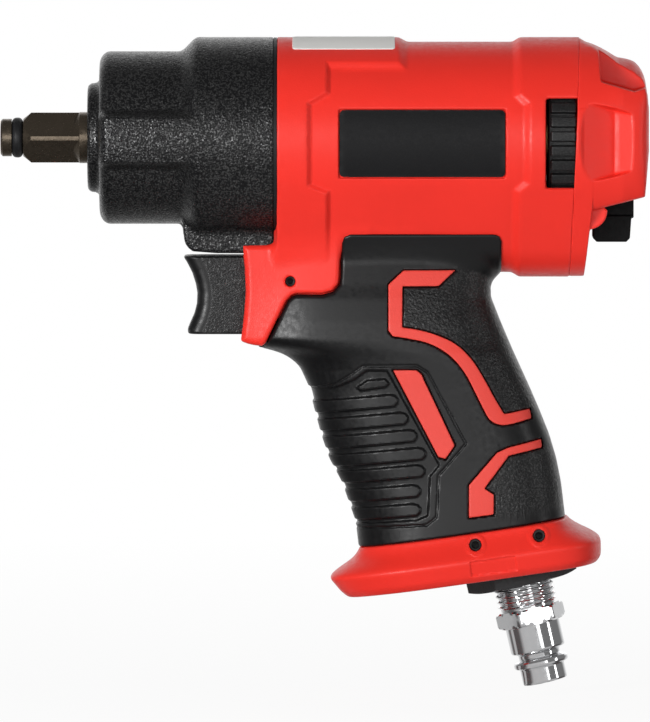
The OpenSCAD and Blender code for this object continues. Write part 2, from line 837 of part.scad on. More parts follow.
module rotor() {
    color("#a5a39f") difference() {
        union() {
            rod_x(x_cylinder + rotor_clear, x_plate_2 - rotor_clear, rotor_r);
            rod_x(x_hub_end + clear, x_motor_gasket - clear, shaft_r);
            on_x(hex_x + clear) cylinder(r = shaft_r, h = x_hub_end - x_disc, $fn = 6);
        }
        for (i = [0 : vane_n - 1])
            on_x(x_cylinder - eps) rotate(i * 360 / vane_n)
                translate([vane_root_r, -vane_t / 2 - run, 0])
                cube([rotor_r, vane_t + 2 * run, cylinder_len + 2 * eps]);
    }
}

module rotor_vanes() {
    color("#7a5a3a") for (i = [0 : vane_n - 1])
        on_x(x_cylinder + 2 * rotor_clear) rotate(i * 360 / vane_n)
            translate([vane_root_r + run, -vane_t / 2, 0])
            cube([rotor_r - vane_root_r - rotor_clear, vane_t, cylinder_len - 4 * rotor_clear]);
}

module rear_end_plate() {
    color("#8f8f8c") end_plate(x_plate_2, x_motor_gasket - bearing_w);
}

module rear_bearing() {
    bearing(x_motor_gasket - bearing_w);
}

module motor_dowel() {
    color("#b9b9b7") rod_x(x_plate_1 + eps, x_motor_gasket - eps, dowel_r, 0, dowel_z);
}

module motor_gasket() {
    color("#3a3a38") tube_x(x_motor_gasket, x_motor_end, motor_r, bearing_r - 1);
}

module valve_sleeve() {
    port_w = 5;
    color("#b08d4f") difference() {
        tube_x(x_motor_end, x_pocket, sleeve_r, valve_r + run);
        translate([x_motor_end + passage_in - port_w / 2, -port_w / 2, -sleeve_r - eps])
            cube([port_w, port_w, sleeve_r]);
    }
}

module reverse_valve() {
    spool_x = x_motor_end + 1;
    spool_end = x_pocket - clear;
    flat_in = 3;
    flat_len = valve_len - 9;
    flat_z = valve_r * 0.45;
    color("#cfc9bd") difference() {
        union() {
            rod_x(spool_x, spool_end, valve_r);
            rod_x(spool_end - eps, x_hub_lever_end - run, stem_r);
        }
        for (z = [flat_z, -flat_z - valve_r])
            translate([spool_x + flat_in, -valve_r, z]) cube([flat_len, 2 * valve_r, valve_r]);
        rod_x(x_hood, x_hub_lever_end + eps, lever_screw_r + seat);
    }
}

module drilled(from, to, r) {
    along = to - from;
    length = norm(along);
    translate(from) rotate([0, acos(along[2] / length), atan2(along[1], along[0])]) cylinder(r = r, h = length);
}

// Sides of the raised bands, seen from the side
module front_band_side() {
    top = barrel_r * 0.75;
    shoulder = barrel_r * 0.46;
    slant = 2.7;
    x_side = x_housing + front_band_len;
    x_step = x_side + front_band_step;
    side_plate([[x_housing, far], [x_housing + top_band_len, far], [x_housing + top_band_len, top],
        [x_step, top], [x_step, shoulder], [x_side, shoulder - slant], [x_side, -shoulder],
        [x_step, -shoulder - slant], [x_step, -far], [x_housing, -far]], far);
}

module rear_band_side() {
    shoulder = barrel_r * 0.44;
    slant = 2.3;
    x_side = x_cap - rear_band_len;
    x_step = x_side - rear_band_step;
    side_plate([[x_cap, far], [x_step, far], [x_step, shoulder], [x_side, shoulder - slant],
        [x_side, -shoulder], [x_step, -shoulder - slant], [x_step, -far], [x_cap, -far]], far);
}

// Where the red trigger housing shows in front of the rubber
module trigger_zone(gap) {
    at_housing() side_plate([
        [-far, grip_top_z + corner], [-far, grip_chin[1]], [grip_chin[0] - gap, grip_chin[1]],
        [grip_step_x - step_corner - gap, grip_step_z - step_drop + gap],
        [grip_step_x - gap, grip_step_z + gap], [grip_front_x - step_corner - gap, grip_step_z + gap],
        [grip_front_x - gap, grip_step_z + step_corner + gap], [grip_front_x - gap, grip_top_z + corner]], far);
}

// Flat sides of the trigger housing, round the trigger's mouth
module cheeks() {
    at_housing() side_plate([[0, -lobe_z], each mouth_line, [grip_step_x, grip_step_z],
        [grip_front_x, grip_step_z + step_corner], [grip_front_x, -lobe_z]], cheek_half_w);
}

// Space in front of the trigger's mouth and round the lug of the hammer case
module front_space() {
    at_housing() {
        side_plate([[-far, far], [0, far], [0, cheek_z], each mouth_line, [-far, grip_chin[1]]], far);
        translate([-far, -lug_half_w - parting, -lug_drop - parting])
            cube([far, 2 * (lug_half_w + parting), far]);
        rod_x(-far, 0, band_r + parting);
    }
}

// Where the rubber shows
module grip_zone() {
    foot_z = -lobe_z - lobe_r - 2 * grip_rise;
    at_housing() side_plate([
        [grip_front_x + corner, grip_top_z], [grip_front_x, grip_top_z - corner],
        [grip_front_x, grip_step_z + step_corner], [grip_front_x - step_corner, grip_step_z],
        [grip_step_x, grip_step_z], [grip_step_x - step_corner, grip_step_z - step_drop],
        grip_chin, [-far, grip_chin[1] - parting], [-far, -far], [far, -far],
        [far, foot_z], [grip_rear_x, foot_z],
        [grip_rear_x, grip_top_z - corner], [grip_rear_x - corner, grip_top_z]], far);
}

// The handle's outer form, with the rubber on
module handle_form(inset) {
    at_housing() loft(grip_rows, inset);
}

// The lands, or their windows, right through the handle
module land_zone(inset) {
    at_housing() for (land = lands) side_plate(drawn_in(land, inset), barrel_r);
}

// Sector of the ribbed pads' pocket or of a pad, on the +Y side
module pad_sector(half_angle, r_in, r_out, width) {
    linear_extrude(width) intersection() {
        difference() {
            circle(r_out);
            circle(r_in);
        }
        polygon([[0, 0],
            for (a = [-half_angle, 0, half_angle]) 2 * r_out * [sin(a + pad_mid), cos(a + pad_mid)]]);
    }
}

module housing() {
    throttle_end = seat_x + chamber_len;
    color("#d8281f") difference() {
        union() {
            barrel(x_housing, x_cap, 0);
            intersection() {
                barrel(x_housing, x_cap, band_rise);
                union() {
                    front_band_side();
                    rear_band_side();
                }
            }
            difference() {
                union() {
                    difference() {
                        intersection() {
                            handle_form(grip_t);
                            above_base(collar_floor + muffler_t);
                        }
                        translate([x_housing + grip_rear_x - parting, -far / 2, -lobe_z - lobe_r - grip_rise])
                            cube([far, far, far]);
                    }
                    intersection() {
                        union() {
                            handle_form(0);
                            cheeks();
                        }
                        trigger_zone(parting);
                    }
                    intersection() {
                        handle_form(land_in);
                        land_zone(parting);
                    }
                }
                front_space();
            }
        }
        // Motor, reverse valve and power ring
        rod_x(x_housing - eps, x_motor_end, motor_r + seat);
        rod_x(x_motor_end - eps, x_pocket + eps, sleeve_r + seat);
        rod_x(x_pocket, x_cap + eps, power_ring_r + clear);
        both_sides() {
            on_x(x_pocket) pad_sector(power_pad_angle + power_turn + pad_gap, power_ring_r - pad_root,
                power_pad_r + clear, power_ring_w + 2 * clear + eps);
            on_x(x_pocket) pad_sector(window_half_angle, power_ring_r, far, power_ring_w + 2 * clear + eps);
            rod_x(x_housing - eps, x_cap + eps, bolt_r + screw_gap, bolt_y, bolt_z);
            rod_x(x_housing - eps, x_housing + case_screw_in + eps, case_screw_r + seat,
                case_screw_y, -case_screw_z);
            rod_x(x_cap - cap_screw_in - eps, x_cap + eps, cap_screw_r + seat, cap_screw_y, -cap_screw_z);
        }
        // Name plate on the near side
        intersection() {
            tube_x(x_housing + name_x, x_housing + name_x + plate_len, band_r, barrel_r - plate_depth);
            translate([x_housing, -far, name_z]) cube([far, far, plate_h]);
        }
        // Trigger, throttle and air ways
        at_housing() {
            translate([mouth_x - trigger_reach, -trigger_half_w - clear, -trigger_top - trigger_h - clear])
                cube([pocket_len + trigger_reach, 2 * (trigger_half_w + clear), trigger_h + 2 * clear]);
            rod_x(mouth_x + pocket_len - eps, throttle_end, throttle_bore_r, 0, -throttle_z);
            translate([roll_pin_x, 0, -throttle_z]) rotate([90, 0, 0])
                cylinder(r = roll_pin_r + seat, h = far, center = true);
            drilled([sleeve_port_x, 0, -throttle_z], [sleeve_port_x, 0, passage_z + passage_r], passage_r);
        }
        rod_x(x_housing + sleeve_port_x, x_motor_end + passage_in, passage_r, 0, passage_z);
        drilled([x_motor_end + passage_in, 0, passage_z - passage_r], [x_motor_end + passage_in, 0, 0],
            passage_r);
        at_inlet() {
            cylinder(r = bushing_shank_r + seat, h = bushing_hex_h + bushing_shank_len + eps);
            cylinder(r = inlet_bore_r, h = inlet_reach);
        }
        both_sides() at_housing() translate([exhaust_x, exhaust_y, -motor_r + exhaust_in])
            rotate([0, 180 - inlet_tilt, 0]) cylinder(r = exhaust_r, h = far);
        collar_pin_holes();
    }
}

module grip_overmould() {
    color("#2f3130") difference() {
        intersection() {
            union() {
                handle_form(0);
                barrel(x_housing + grip_front_x - 1, x_housing + grip_rear_x + 1, grip_rise);
            }
            grip_zone();
            above_base(collar_h + parting);
        }
        handle_form(grip_t - seat);
        barrel(x_housing, x_cap, seat);
        trigger_zone(0);
        finger_grooves();
        land_zone(0);
    }
}

// Grooves between the finger ribs at the front of the grip
module finger_grooves() {
    lean = 7;
    top = [7, 0, -63.5];
    step = [1.6, 0, -rib_pitch];
    before = 10;
    reach = 19;
    groove_h = rib_pitch * 0.56;
    skin = 1;
    intersection() {
        at_housing() for (i = [0 : rib_n - 1])
            translate(top + i * step) rotate([0, -lean, 0])
                translate([-before, -far / 2, -groove_h]) cube([before + reach, far, groove_h]);
        difference() {
            handle_form(-skin);
            handle_form(rib_depth);
        }
    }
}

module power_ring() {
    block_h = 1;
    block_share = 0.72;
    base_r = power_pad_r - block_h;
    pad_rib_n = floor(2 * power_pad_angle / power_rib_pitch);
    color("#232425") union() {
        tube_x(x_pocket + clear, x_cap - clear, power_ring_r, power_ring_bore);
        both_sides() on_x(x_pocket + clear) {
            pad_sector(power_pad_angle, power_ring_r - pad_root, base_r, power_ring_w);
            for (i = [0 : pad_rib_n - 1])
                rotate((i - (pad_rib_n - 1) / 2) * power_rib_pitch)
                    pad_sector(power_rib_pitch / 2 * block_share, base_r - eps, power_pad_r, power_ring_w);
        }
    }
}

// The end cap's hood: a crest along its top, flat sides and a rounded rear
module hood() {
    rear_edge = 2.6;
    crest = [[0, barrel_r - 0.4], [4.5, barrel_r - 2.3], [6.5, barrel_r - 3.5], [10.5, barrel_r - 4.6]];
    crest_edge = 3.4;
    crest_end = barrel_r - 8.4;
    rear_lean = [0.9, 3.6];
    sides = [[0, barrel_r + 0.9], [3.5, barrel_r], [8, barrel_r - 1.4], [11, barrel_r - 2.3]];
    side_end = barrel_r - 5.6;
    round_r = [[0, barrel_r + 0.9], [8, barrel_r + 0.5], [hood_len, barrel_r - 1.6]];
    plan = concat([for (p = sides) p], arc(hood_len - rear_edge, side_end, rear_edge, 60, 0, 3));
    intersection() {
        translate([x_hood, 0, 0]) side_plate(concat([[-eps, -hood_floor], [-eps, crest[0][1]]], crest,
            arc(hood_len - crest_edge, crest_end, crest_edge, 60, 0),
            [[hood_len, -rear_lean[1]], [hood_len - rear_lean[0], -hood_floor + hood_slant]]), far);
        translate([x_hood, 0, 0]) linear_extrude(far, center = true)
            polygon(concat([[-eps, -sides[0][1]], [-eps, sides[0][1]]], plan,
                [for (k = [len(plan) - 1 : -1 : 0]) [plan[k][0], -plan[k][1]]]));
        translate([x_hood, 0, 0]) turned(concat([[-eps, 0], [-eps, round_r[0][1]]], round_r, [[hood_len, 0]]));
    }
}

// Hollow with sloping walls in each side of the end cap
module scoop() {
    scoop_y = barrel_r - 5.5;
    rise = 7;
    slab = 0.1;
    bottom = [[-1.8, 7.9], [6.2, 5.6], [6.2, -9.4], [-1.1, -11.9]];
    brim = [[-1.8, 10.2], [6.2, 9.4], [16.8, 5.6], [16.8, -8], [6.2, -13], [-1.1, -14.2]];
    translate([x_hood, 0, 0]) hull() {
        translate([0, scoop_y + slab, 0]) rotate([90, 0, 0]) linear_extrude(slab) polygon(bottom);
        translate([0, scoop_y + rise, 0]) rotate([90, 0, 0]) linear_extrude(slab) polygon(brim);
    }
}

module end_cap() {
    inner_r = 11;
    flange_inset = 0.3;
    slot_half_w = lever_half_w / cos(lever_swing) + hood_floor * tan(lever_swing) + clear;
    notch_z = bolt_z - 5.5;
    notch_y = bolt_y - 4.5;
    notch_drop = 2.4;
    notch_run = 8.5;
    gusset_y = 13.4;
    gusset_t = 2;
    gusset_len = 4.5;
    gusset_z = -hood_floor + 1;
    color("#d8281f") difference() {
        union() {
            barrel(x_cap, x_hood, band_rise - flange_inset);
            hood();
            rod_x(x_pocket + clear, x_cap + eps, hub_r);
            both_sides() translate([x_hood - eps, gusset_y, 0]) rotate([90, 0, 0]) translate([0, 0, -gusset_t])
                linear_extrude(gusset_t) polygon(concat([[0, gusset_z], [gusset_len, gusset_z]],
                    arc(gusset_len, -hood_floor - gusset_len, gusset_len, 90, 180)));
        }
        // Room for the lever's hub and its swing
        rod_x(x_hood, x_end - hood_wall, inner_r);
        translate([x_hood, -slot_half_w, -far]) cube([hood_len - hood_wall, 2 * slot_half_w, far]);
        rod_x(x_pocket, x_hood + eps, stem_r + run);
        rod_x(x_hood - detent_in, x_hood + eps, detent_r + run, 0, detent_z);
        both_sides() {
            // Pocket over each long bolt, and the bolt's seat in its front wall
            translate([0, notch_y, 0]) rotate([90, 0, 0]) translate([0, 0, -far]) linear_extrude(far)
                polygon([[notch_x, notch_z + notch_drop], [notch_x + notch_run, notch_z], [far, notch_z],
                    [far, far], [notch_x, far]]);
            rod_x(x_cap - eps, bolt_seat_x + eps, bolt_r + screw_gap, bolt_y, bolt_z);
            rod_x(bolt_seat_x, notch_x + eps, bolt_head_r + screw_gap, bolt_y, bolt_z);
            scoop();
            rod_x(x_cap - eps, x_hood + eps, cap_screw_r + screw_gap, cap_screw_y, -cap_screw_z);
            rod_x(x_hood - cap_head_h, x_hood + eps, cap_head_r + screw_gap, cap_screw_y, -cap_screw_z);
        }
    }
}

// Screws whose heads face back
module back_screw(seat_x_at, head_h, head_r, shank_r, tip_x, socket_af) {
    difference() {
        union() {
            rod_x(seat_x_at, seat_x_at + head_h, head_r);
            rod_x(tip_x, seat_x_at + eps, shank_r);
        }
        on_x(seat_x_at + head_h * 0.4) cylinder(d = socket_af / cos(30), h = head_h, $fn = 6);
    }
}

module long_bolts() {
    color("#3b3b3d") both_sides() translate([0, bolt_y, bolt_z])
        back_screw(bolt_seat_x, bolt_head_h, bolt_head_r, bolt_r, x_rear + bolt_blind + eps, 2.5);
}

module cap_screws() {
    color("#3b3b3d") both_sides() translate([0, cap_screw_y, -cap_screw_z])
        back_screw(x_hood - cap_head_h, cap_head_h - run, cap_head_r, cap_screw_r, x_cap - cap_screw_in, 2);
}

module direction_lever() {
    hub_out_r = stem_r + 2.4;
    arm_half_w = 3.5;
    arm_back = x_hub_lever_end - 0.6;
    neck_half_w = lever_half_w - 0.8;
    neck_back = x_end - hood_wall - clear;
    knob_back = neck_back - 0.7;
    knob_top = -lever_drop + 6.7;
    z_top = -lever_head_top;
    z_foot = -lever_drop;
    edge = 1;
    color("#262729") difference() {
        union() {
            rod_x(x_hub_lever, x_hub_lever_end, hub_out_r);
            translate([x_arm, -arm_half_w, z_top - 2])
                cube([arm_back - x_arm, 2 * arm_half_w, lever_head_top]);
            side_plate([[x_lever, z_top - 2.6], [x_lever, knob_top], [neck_back, knob_top],
                [neck_back, z_top - edge], [neck_back - edge, z_top], [x_hub_lever, z_top]], neck_half_w);
            side_plate([[x_lever, knob_top], [x_lever, z_foot + edge], [x_lever + edge, z_foot],
                [knob_back - edge, z_foot], [knob_back, z_foot + edge], [knob_back, knob_top]], lever_half_w);
        }
        rod_x(x_arm - eps, x_hub_lever_end + eps, stem_r + seat);
    }
}

module lever_screw() {
    color("#8c8a86") back_screw(x_hub_lever_end, 2, 2.8, lever_screw_r, x_hood + eps, 2);
}

module detent_ball() {
    color("#b9b9b7") translate([x_arm - clear - detent_r, 0, detent_z]) sphere(detent_r);
}

module detent_spring() {
    from = x_hood - detent_in;
    to = x_arm - clear - 2 * detent_r - run;
    wire = 0.45;
    coil_r = detent_r - 3 * run;
    color("#9a9a96") on_x(from, 0, detent_z) difference() {
        cylinder(r = coil_r, h = to - from);
        translate([0, 0, -eps]) cylinder(r = coil_r - wire, h = far);
    }
}

module trigger() {
    front = mouth_x - trigger_reach;
    mid_z = -trigger_top - trigger_h / 2 + 0.4;
    nose = 3.4;
    tip_back = 1.2;
    slot_from = roll_pin_x - trigger_travel - roll_pin_r - clear;
    slot_to = roll_pin_x + roll_pin_r + clear / 2;
    color("#262729") at_housing() difference() {
        union() {
            difference() {
                side_plate(concat(
                    [[trigger_back, -trigger_top], [front, -trigger_top]],
                    arc(front + nose + tip_back, -trigger_top - trigger_h + nose, nose, 180, 270),
                    [[trigger_back, -trigger_top - trigger_h]]), trigger_half_w);
                translate([front + nose - trigger_hollow_r, 0, mid_z]) rotate([90, 0, 0])
                    cylinder(r = trigger_hollow_r, h = far, center = true);
            }
            rod_x(trigger_back - eps, stem_end, trigger_stem_r, 0, -throttle_z);
        }
        translate([slot_from, -trigger_stem_r - eps, -throttle_z - roll_pin_r - clear])
            cube([slot_to - slot_from, 2 * (trigger_stem_r + eps), 2 * (roll_pin_r + clear)]);
        rod_x(stem_end - rod_in, stem_end + eps, rod_r + seat, 0, -throttle_z);
    }
}

module trigger_rod() {
    color("#b9b9b7") at_housing() rod_x(stem_end - rod_in, seat_x + poppet_gap, rod_r, 0, -throttle_z);
}

module roll_pin() {
    row = grip_rows[1];
    sunk = 0.6;
    wall = 0.5;
    half = section_y((roll_pin_x - row[1]) / (grip_rows[2][2] - row[1]), row[3]) - sunk;
    color("#5a5a5a") at_housing() translate([roll_pin_x, 0, -throttle_z]) rotate([90, 0, 0]) difference() {
        cylinder(r = roll_pin_r, h = 2 * half, center = true);
        cylinder(r = roll_pin_r - wall, h = far, center = true);
    }
}

module throttle_sleeve() {
    guide_len = 4;
    wall = 1.8;
    bore_r = throttle_bore_r - wall;
    color("#b08d4f") at_housing() difference() {
        rod_x(sleeve_x, seat_x, throttle_bore_r - seat, 0, -throttle_z);
        rod_x(sleeve_x - eps, seat_x + eps, rod_r + run, 0, -throttle_z);
        rod_x(sleeve_x + guide_len, seat_x + eps, bore_r, 0, -throttle_z);
        drilled([sleeve_port_x, 0, -throttle_z], [sleeve_port_x, 0, 0], passage_r);
    }
}

module throttle_valve() {
    from = seat_x + poppet_gap;
    around = 0.8;
    color("#2a2a2a") at_housing() union() {
        rod_x(from, from + poppet_t, throttle_bore_r - around, 0, -throttle_z);
        rod_x(from, from + poppet_t + spigot_len, spigot_r, 0, -throttle_z);
    }
}

// Tube of triangles wound round the throttle bore's axis
module throttle_spring() {
    from = seat_x + poppet_gap + poppet_t + run;
    to = seat_x + chamber_len - run;
    wind_r = spigot_r + spring_wire_r + clear;
    steps = 8;
    sides = 6;
    rings = spring_coils * steps;
    rise = (to - from - 2 * spring_wire_r) / rings;
    points = [for (k = [0 : rings], i = [0 : sides - 1])
        let (a = 360 * k / steps, b = 360 * i / sides, r = wind_r + spring_wire_r * cos(b))
        [from + spring_wire_r + k * rise + spring_wire_r * sin(b), r * cos(a), r * sin(a)]];
    walls = [for (k = [0 : rings - 1], i = [0 : sides - 1])
        let (j = (i + 1) % sides, p = k * sides, q = p + sides)
        each [[p + i, q + i, p + j], [p + j, q + i, q + j]]];
    echo(least_gap_of_throttle_spring = rise * steps - 2 * spring_wire_r);
    color("#9a9a96") at_housing() translate([0, 0, -throttle_z])
        polyhedron(points, concat(walls, [[for (i = [0 : sides - 1]) i],
            [for (i = [sides - 1 : -1 : 0]) rings * sides + i]]));
}

// Holes for the collar's pins, through collar and handle
module collar_pin_holes() {
    both_sides() at_base() for (x = collar_pin_x)
        translate([x, collar_pin_in, collar_pin_z]) rotate([-90, 0, 0])
            cylinder(r = collar_pin_r + seat, h = far);
}

// Half width of the collar at a place along it, at the pins' height
function collar_y(x) =
    let (
        low = collar_rows[4],
        high = collar_rows[5],
        row = low + (high - low) * (collar_pin_z - low[0]) / (high[0] - low[0])
    )
    section_y((x - row[1]) / (row[2] - row[1]), row[3]);

module base_collar() {
    boss_r = collar_pin_r + 1.1;
    boss_rise = 0.5;
    vent_r = 1.5;
    vent_x = -22;
    vent_pitch = [4.4, 5.5];
    color("#d8281f") difference() {
        at_base() union() {
            loft(collar_rows);
            both_sides() for (x = collar_pin_x)
                translate([x, 0, collar_pin_z]) rotate([-90, 0, 0])
                    cylinder(r = boss_r, h = collar_y(x) + boss_rise);
        }
        intersection() {
            handle_form(grip_t - seat);
            above_base(collar_floor);
        }
        at_inlet() translate([0, 0, -far / 2]) cylinder(r = hex_room_r, h = far);
        at_base() for (i = [0 : 4], j = [-1, 0, 1])
            translate([vent_x + i * vent_pitch[0], j * vent_pitch[1], -eps])
                cylinder(r = vent_r, h = collar_floor + 2 * eps);
        collar_pin_holes();
    }
}

module collar_pins() {
    sunk = 1.2;
    color("#303032") both_sides() at_base() for (x = collar_pin_x)
        translate([x, collar_pin_in, collar_pin_z]) rotate([-90, 0, 0])
            cylinder(r = collar_pin_r, h = collar_y(x) - sunk - collar_pin_in);
}

module muffler() {
    color("#8a8a7c") difference() {
        intersection() {
            handle_form(grip_t + clear);
            at_base() translate([-far / 2, -far / 2, collar_floor]) cube([far, far, muffler_t]);
        }
        at_inlet() translate([0, 0, -far / 2]) cylinder(r = hex_room_r, h = far);
    }
}

module inlet_bushing() {
    edge = 0.6;
    hex_r = bushing_af / 2 / cos(30);
    color("#2b2c2e") at_inlet() difference() {
        union() {
            intersection() {
                cylinder(r = hex_r, h = bushing_hex_h, $fn = 6);
                rotate_extrude() polygon([[0, 0], [bushing_af / 2, 0], [hex_r + eps, edge],
                    [hex_r + eps, bushing_hex_h], [0, bushing_hex_h]]);
            }
            cylinder(r = bushing_shank_r, h = bushing_hex_h + bushing_shank_len);
        }
        translate([0, 0, -eps]) cylinder(r = plug_thread_r + seat, h = plug_in + 2 * eps);
        cylinder(r = plug_stop_r, h = far);
        translate([0, 0, seal_z]) difference() {
            cylinder(r = bushing_shank_r + eps, h = seal_w + 2 * run);
            translate([0, 0, -eps]) cylinder(r = seal_r, h = seal_w + 2 * eps);
        }
    }
}

module inlet_seal() {
    color("#1b1b1b") at_inlet() translate([0, 0, seal_z + run]) difference() {
        cylinder(r = bushing_shank_r, h = seal_w);
        translate([0, 0, -eps]) cylinder(r = seal_r + seat, h = seal_w + 2 * eps);
    }
}

module inlet_screen() {
    wall = 0.5;
    from = plug_in + 2 * eps;
    to = bushing_hex_h + bushing_shank_len - eps;
    color("#b9b9b7") at_inlet() difference() {
        translate([0, 0, from]) cylinder(r = plug_stop_r - seat, h = to - from);
        translate([0, 0, from - eps]) cylinder(r = plug_stop_r - wall, h = to - from + eps - wall);
    }
}

module air_plug() {
    z_hex = -plug_thread_len;
    z_body = z_hex - plug_hex_h;
    z_groove = z_body - plug_body_len;
    z_collar = z_groove - plug_groove_len;
    z_nose = z_collar - plug_collar_len;
    z_tip = z_nose - plug_nose_len;
    edge = 0.5;
    hex_edge = 0.8;
    hex_turn = 14;
    hex_r = plug_af / 2 / cos(30);
    color("#d9dcde") at_inlet() difference() {
        union() {
            rotate_extrude() polygon([[0, plug_in], [plug_thread_r, plug_in], [plug_thread_r, z_hex - eps],
                [0, z_hex - eps]]);
            rotate(hex_turn) intersection() {
                translate([0, 0, z_body]) cylinder(r = hex_r, h = plug_hex_h, $fn = 6);
                rotate_extrude() polygon([[0, z_body], [plug_af / 2, z_body], [hex_r, z_body + hex_edge],
                    [hex_r, z_hex - hex_edge], [plug_af / 2, z_hex], [0, z_hex]]);
            }
            rotate_extrude() polygon([[0, z_body + eps], [plug_body_r, z_body + eps],
                [plug_body_r, z_groove + edge], [plug_body_r - edge, z_groove],
                [plug_groove_r, z_groove], [plug_groove_r, z_collar],
                [plug_body_r - edge, z_collar], [plug_body_r, z_collar - edge],
                [plug_body_r, z_nose + edge], [plug_body_r - edge, z_nose],
                [plug_nose_r, z_nose], [plug_nose_r, z_tip], [0, z_tip]]);
        }
        translate([0, 0, z_tip - eps]) cylinder(r = plug_bore_r, h = far);
    }
}

anvil();
anvil_o_ring();
anvil_bushing();
hammer_case();
thrust_washer();
hammer_cage();
front_hammer();
rear_hammer();
hammer_pins();
case_gasket();
case_screws();
front_end_plate();
front_bearing();
cylinder_liner();  // cylinder
rotor();
rotor_vanes();
rear_end_plate();
rear_bearing();
motor_dowel();
motor_gasket();
valve_sleeve();
reverse_valve();
housing();
grip_overmould();
power_ring();
end_cap();
long_bolts();
cap_screws();
direction_lever();
lever_screw();
detent_ball();
detent_spring();
trigger();
trigger_rod();
roll_pin();
throttle_sleeve();
throttle_valve();
throttle_spring();
base_collar();
collar_pins();
muffler();
inlet_bushing();
inlet_seal();
inlet_screen();
air_plug();
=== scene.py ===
import functools
import json
import math

import bpy
import numpy as np
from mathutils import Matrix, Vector


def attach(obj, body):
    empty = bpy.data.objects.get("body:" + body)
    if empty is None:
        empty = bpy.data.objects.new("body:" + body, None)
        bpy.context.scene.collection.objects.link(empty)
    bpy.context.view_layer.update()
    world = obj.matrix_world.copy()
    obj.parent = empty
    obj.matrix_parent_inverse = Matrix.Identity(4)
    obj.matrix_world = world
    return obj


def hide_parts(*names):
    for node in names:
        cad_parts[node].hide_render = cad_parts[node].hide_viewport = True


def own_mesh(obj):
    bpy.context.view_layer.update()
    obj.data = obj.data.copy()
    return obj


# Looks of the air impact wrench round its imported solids. Lengths are millimetres in the part's
# own frame (X back along the motor axis, Z up, Y = 0 the mid-plane) until a mesh is made.
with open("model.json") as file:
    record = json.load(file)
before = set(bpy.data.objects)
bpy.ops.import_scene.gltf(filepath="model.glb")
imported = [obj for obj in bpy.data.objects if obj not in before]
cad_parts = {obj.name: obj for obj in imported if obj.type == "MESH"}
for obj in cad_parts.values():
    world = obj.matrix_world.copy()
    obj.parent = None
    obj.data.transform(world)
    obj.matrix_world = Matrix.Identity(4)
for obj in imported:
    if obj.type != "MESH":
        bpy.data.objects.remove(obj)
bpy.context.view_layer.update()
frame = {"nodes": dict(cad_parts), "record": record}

MM = 0.001
# Stations along the axis and radii, as in the part's source
X_NOSE, X_CASE, X_CAVITY, X_CONE, X_REAR = 21.75, 24.75, 31.0, 44.25, 49.75
X_GASKET, X_HOUSING, X_MOTOR_END, X_POCKET = 68.2, 69.0, 113.6, 136.0
X_CAP, X_HOOD, X_END = 143.8, 147.05, 161.55
CASE_R, BAND_R, BARREL_R, LOBE_R, LOBE_Z = 21.55, 25.1, 23.95, 14.0, 19.6
MOTOR_BORE_R, HUB_BORE_R = 19.02, 9.52
# Thickness of the grip, and gaps where pieces seat, part or lap
GRIP_T, SEAT, PARTING, LAP = 2.0, 0.02, 0.15, 0.14
THROTTLE_Z, THROTTLE_R, TRIGGER_STROKE = -35.4, 5.8, 5.0
ROLL_PIN_X = 72.35
BASE = (117.6, -110.25)
BASE_TILT = math.radians(8.4)
INLET = (130.518, -111.476)
INLET_TILT = math.radians(13)
COLLAR_H, BUSHING_H = 12.0, 7.05
PIN_AT = ((2.2, 9.3), (18.2, 9.3))
BOLT_Y, BOLT_Z, BOLT_HEAD_R = 13.8, 16.39, 2.6
CAP_SCREW_Y, CAP_SCREW_Z = 8, -28.4
# Middle of the power ring's pads above the horizontal, in degrees
RING_AT = -1.8
# The side view: its middle, distance, height and slope
VIEW_X, VIEW_Z, VIEW_D, VIEW_H = 81.0, -55.9, 3500.0, 180.5
LOOK_DOWN = math.radians(3.0)
# Its units: how many to a millimetre, and the place of the axis's start
VIEW_UNITS, VIEW_START = 4, (1, 137.5)


def seen(*points, near=0.0):
    """Side-view points (x, z) of places in the view, on a form so many millimetres nearer to the eye."""
    k, lift = 1 - near / VIEW_D, near * math.tan(LOOK_DOWN)
    left, axis = VIEW_START
    return [(VIEW_X + k * ((a - left) / VIEW_UNITS - VIEW_X),
             VIEW_Z + k * ((axis - b) / VIEW_UNITS - VIEW_Z) + lift) for a, b in points]


# Fields: arrays that are negative inside a form and measure millimetres

class Grid:
    """Sample points over half the object; the first layer lies just across the mid-plane."""

    def __init__(self, x, y, z, h):
        self.h = h
        self.lo = np.array([x[0], -h / 2, z[0]])
        count = [int(math.ceil((b - a) / h)) + 1 for a, b in zip(self.lo, (x[1], y, z[1]))]
        axes = [(lo + h * np.arange(n)).astype(np.float32) for lo, n in zip(self.lo, count)]
        self.x = axes[0][:, None, None]
        self.y = np.abs(axes[1])[None, :, None]
        self.z = axes[2][None, None, :]
        self.r = np.hypot(self.y, self.z)

    def base(self):
        """Places along and above the base, in its own tilted frame."""
        x, z = self.x - BASE[0], self.z - BASE[1]
        c, s = math.cos(BASE_TILT), math.sin(BASE_TILT)
        return x * c + z * s, z * c - x * s

    def inlet(self):
        """Height along the air inlet's axis and distance from it."""
        x, z = self.x - INLET[0], self.z - INLET[1]
        c, s = math.cos(INLET_TILT), math.sin(INLET_TILT)
        return z * c - x * s, np.hypot(x * c + z * s, self.y)


def meet(*fields):
    """Where all of some fields are."""
    return functools.reduce(np.maximum, fields)


def join(*fields):
    """Where any of some fields is."""
    return functools.reduce(np.minimum, fields)


def carved(solid, *cuts):
    return meet(solid, *(-cut for cut in cuts))


def smooth_min(a, b, k):
    h = np.clip(0.5 + 0.5 * (b - a) / k, 0, 1)
    return b + (a - b) * h - k * h * (1 - h)


def smooth_max(a, b, k):
    return -smooth_min(-a, -b, k)


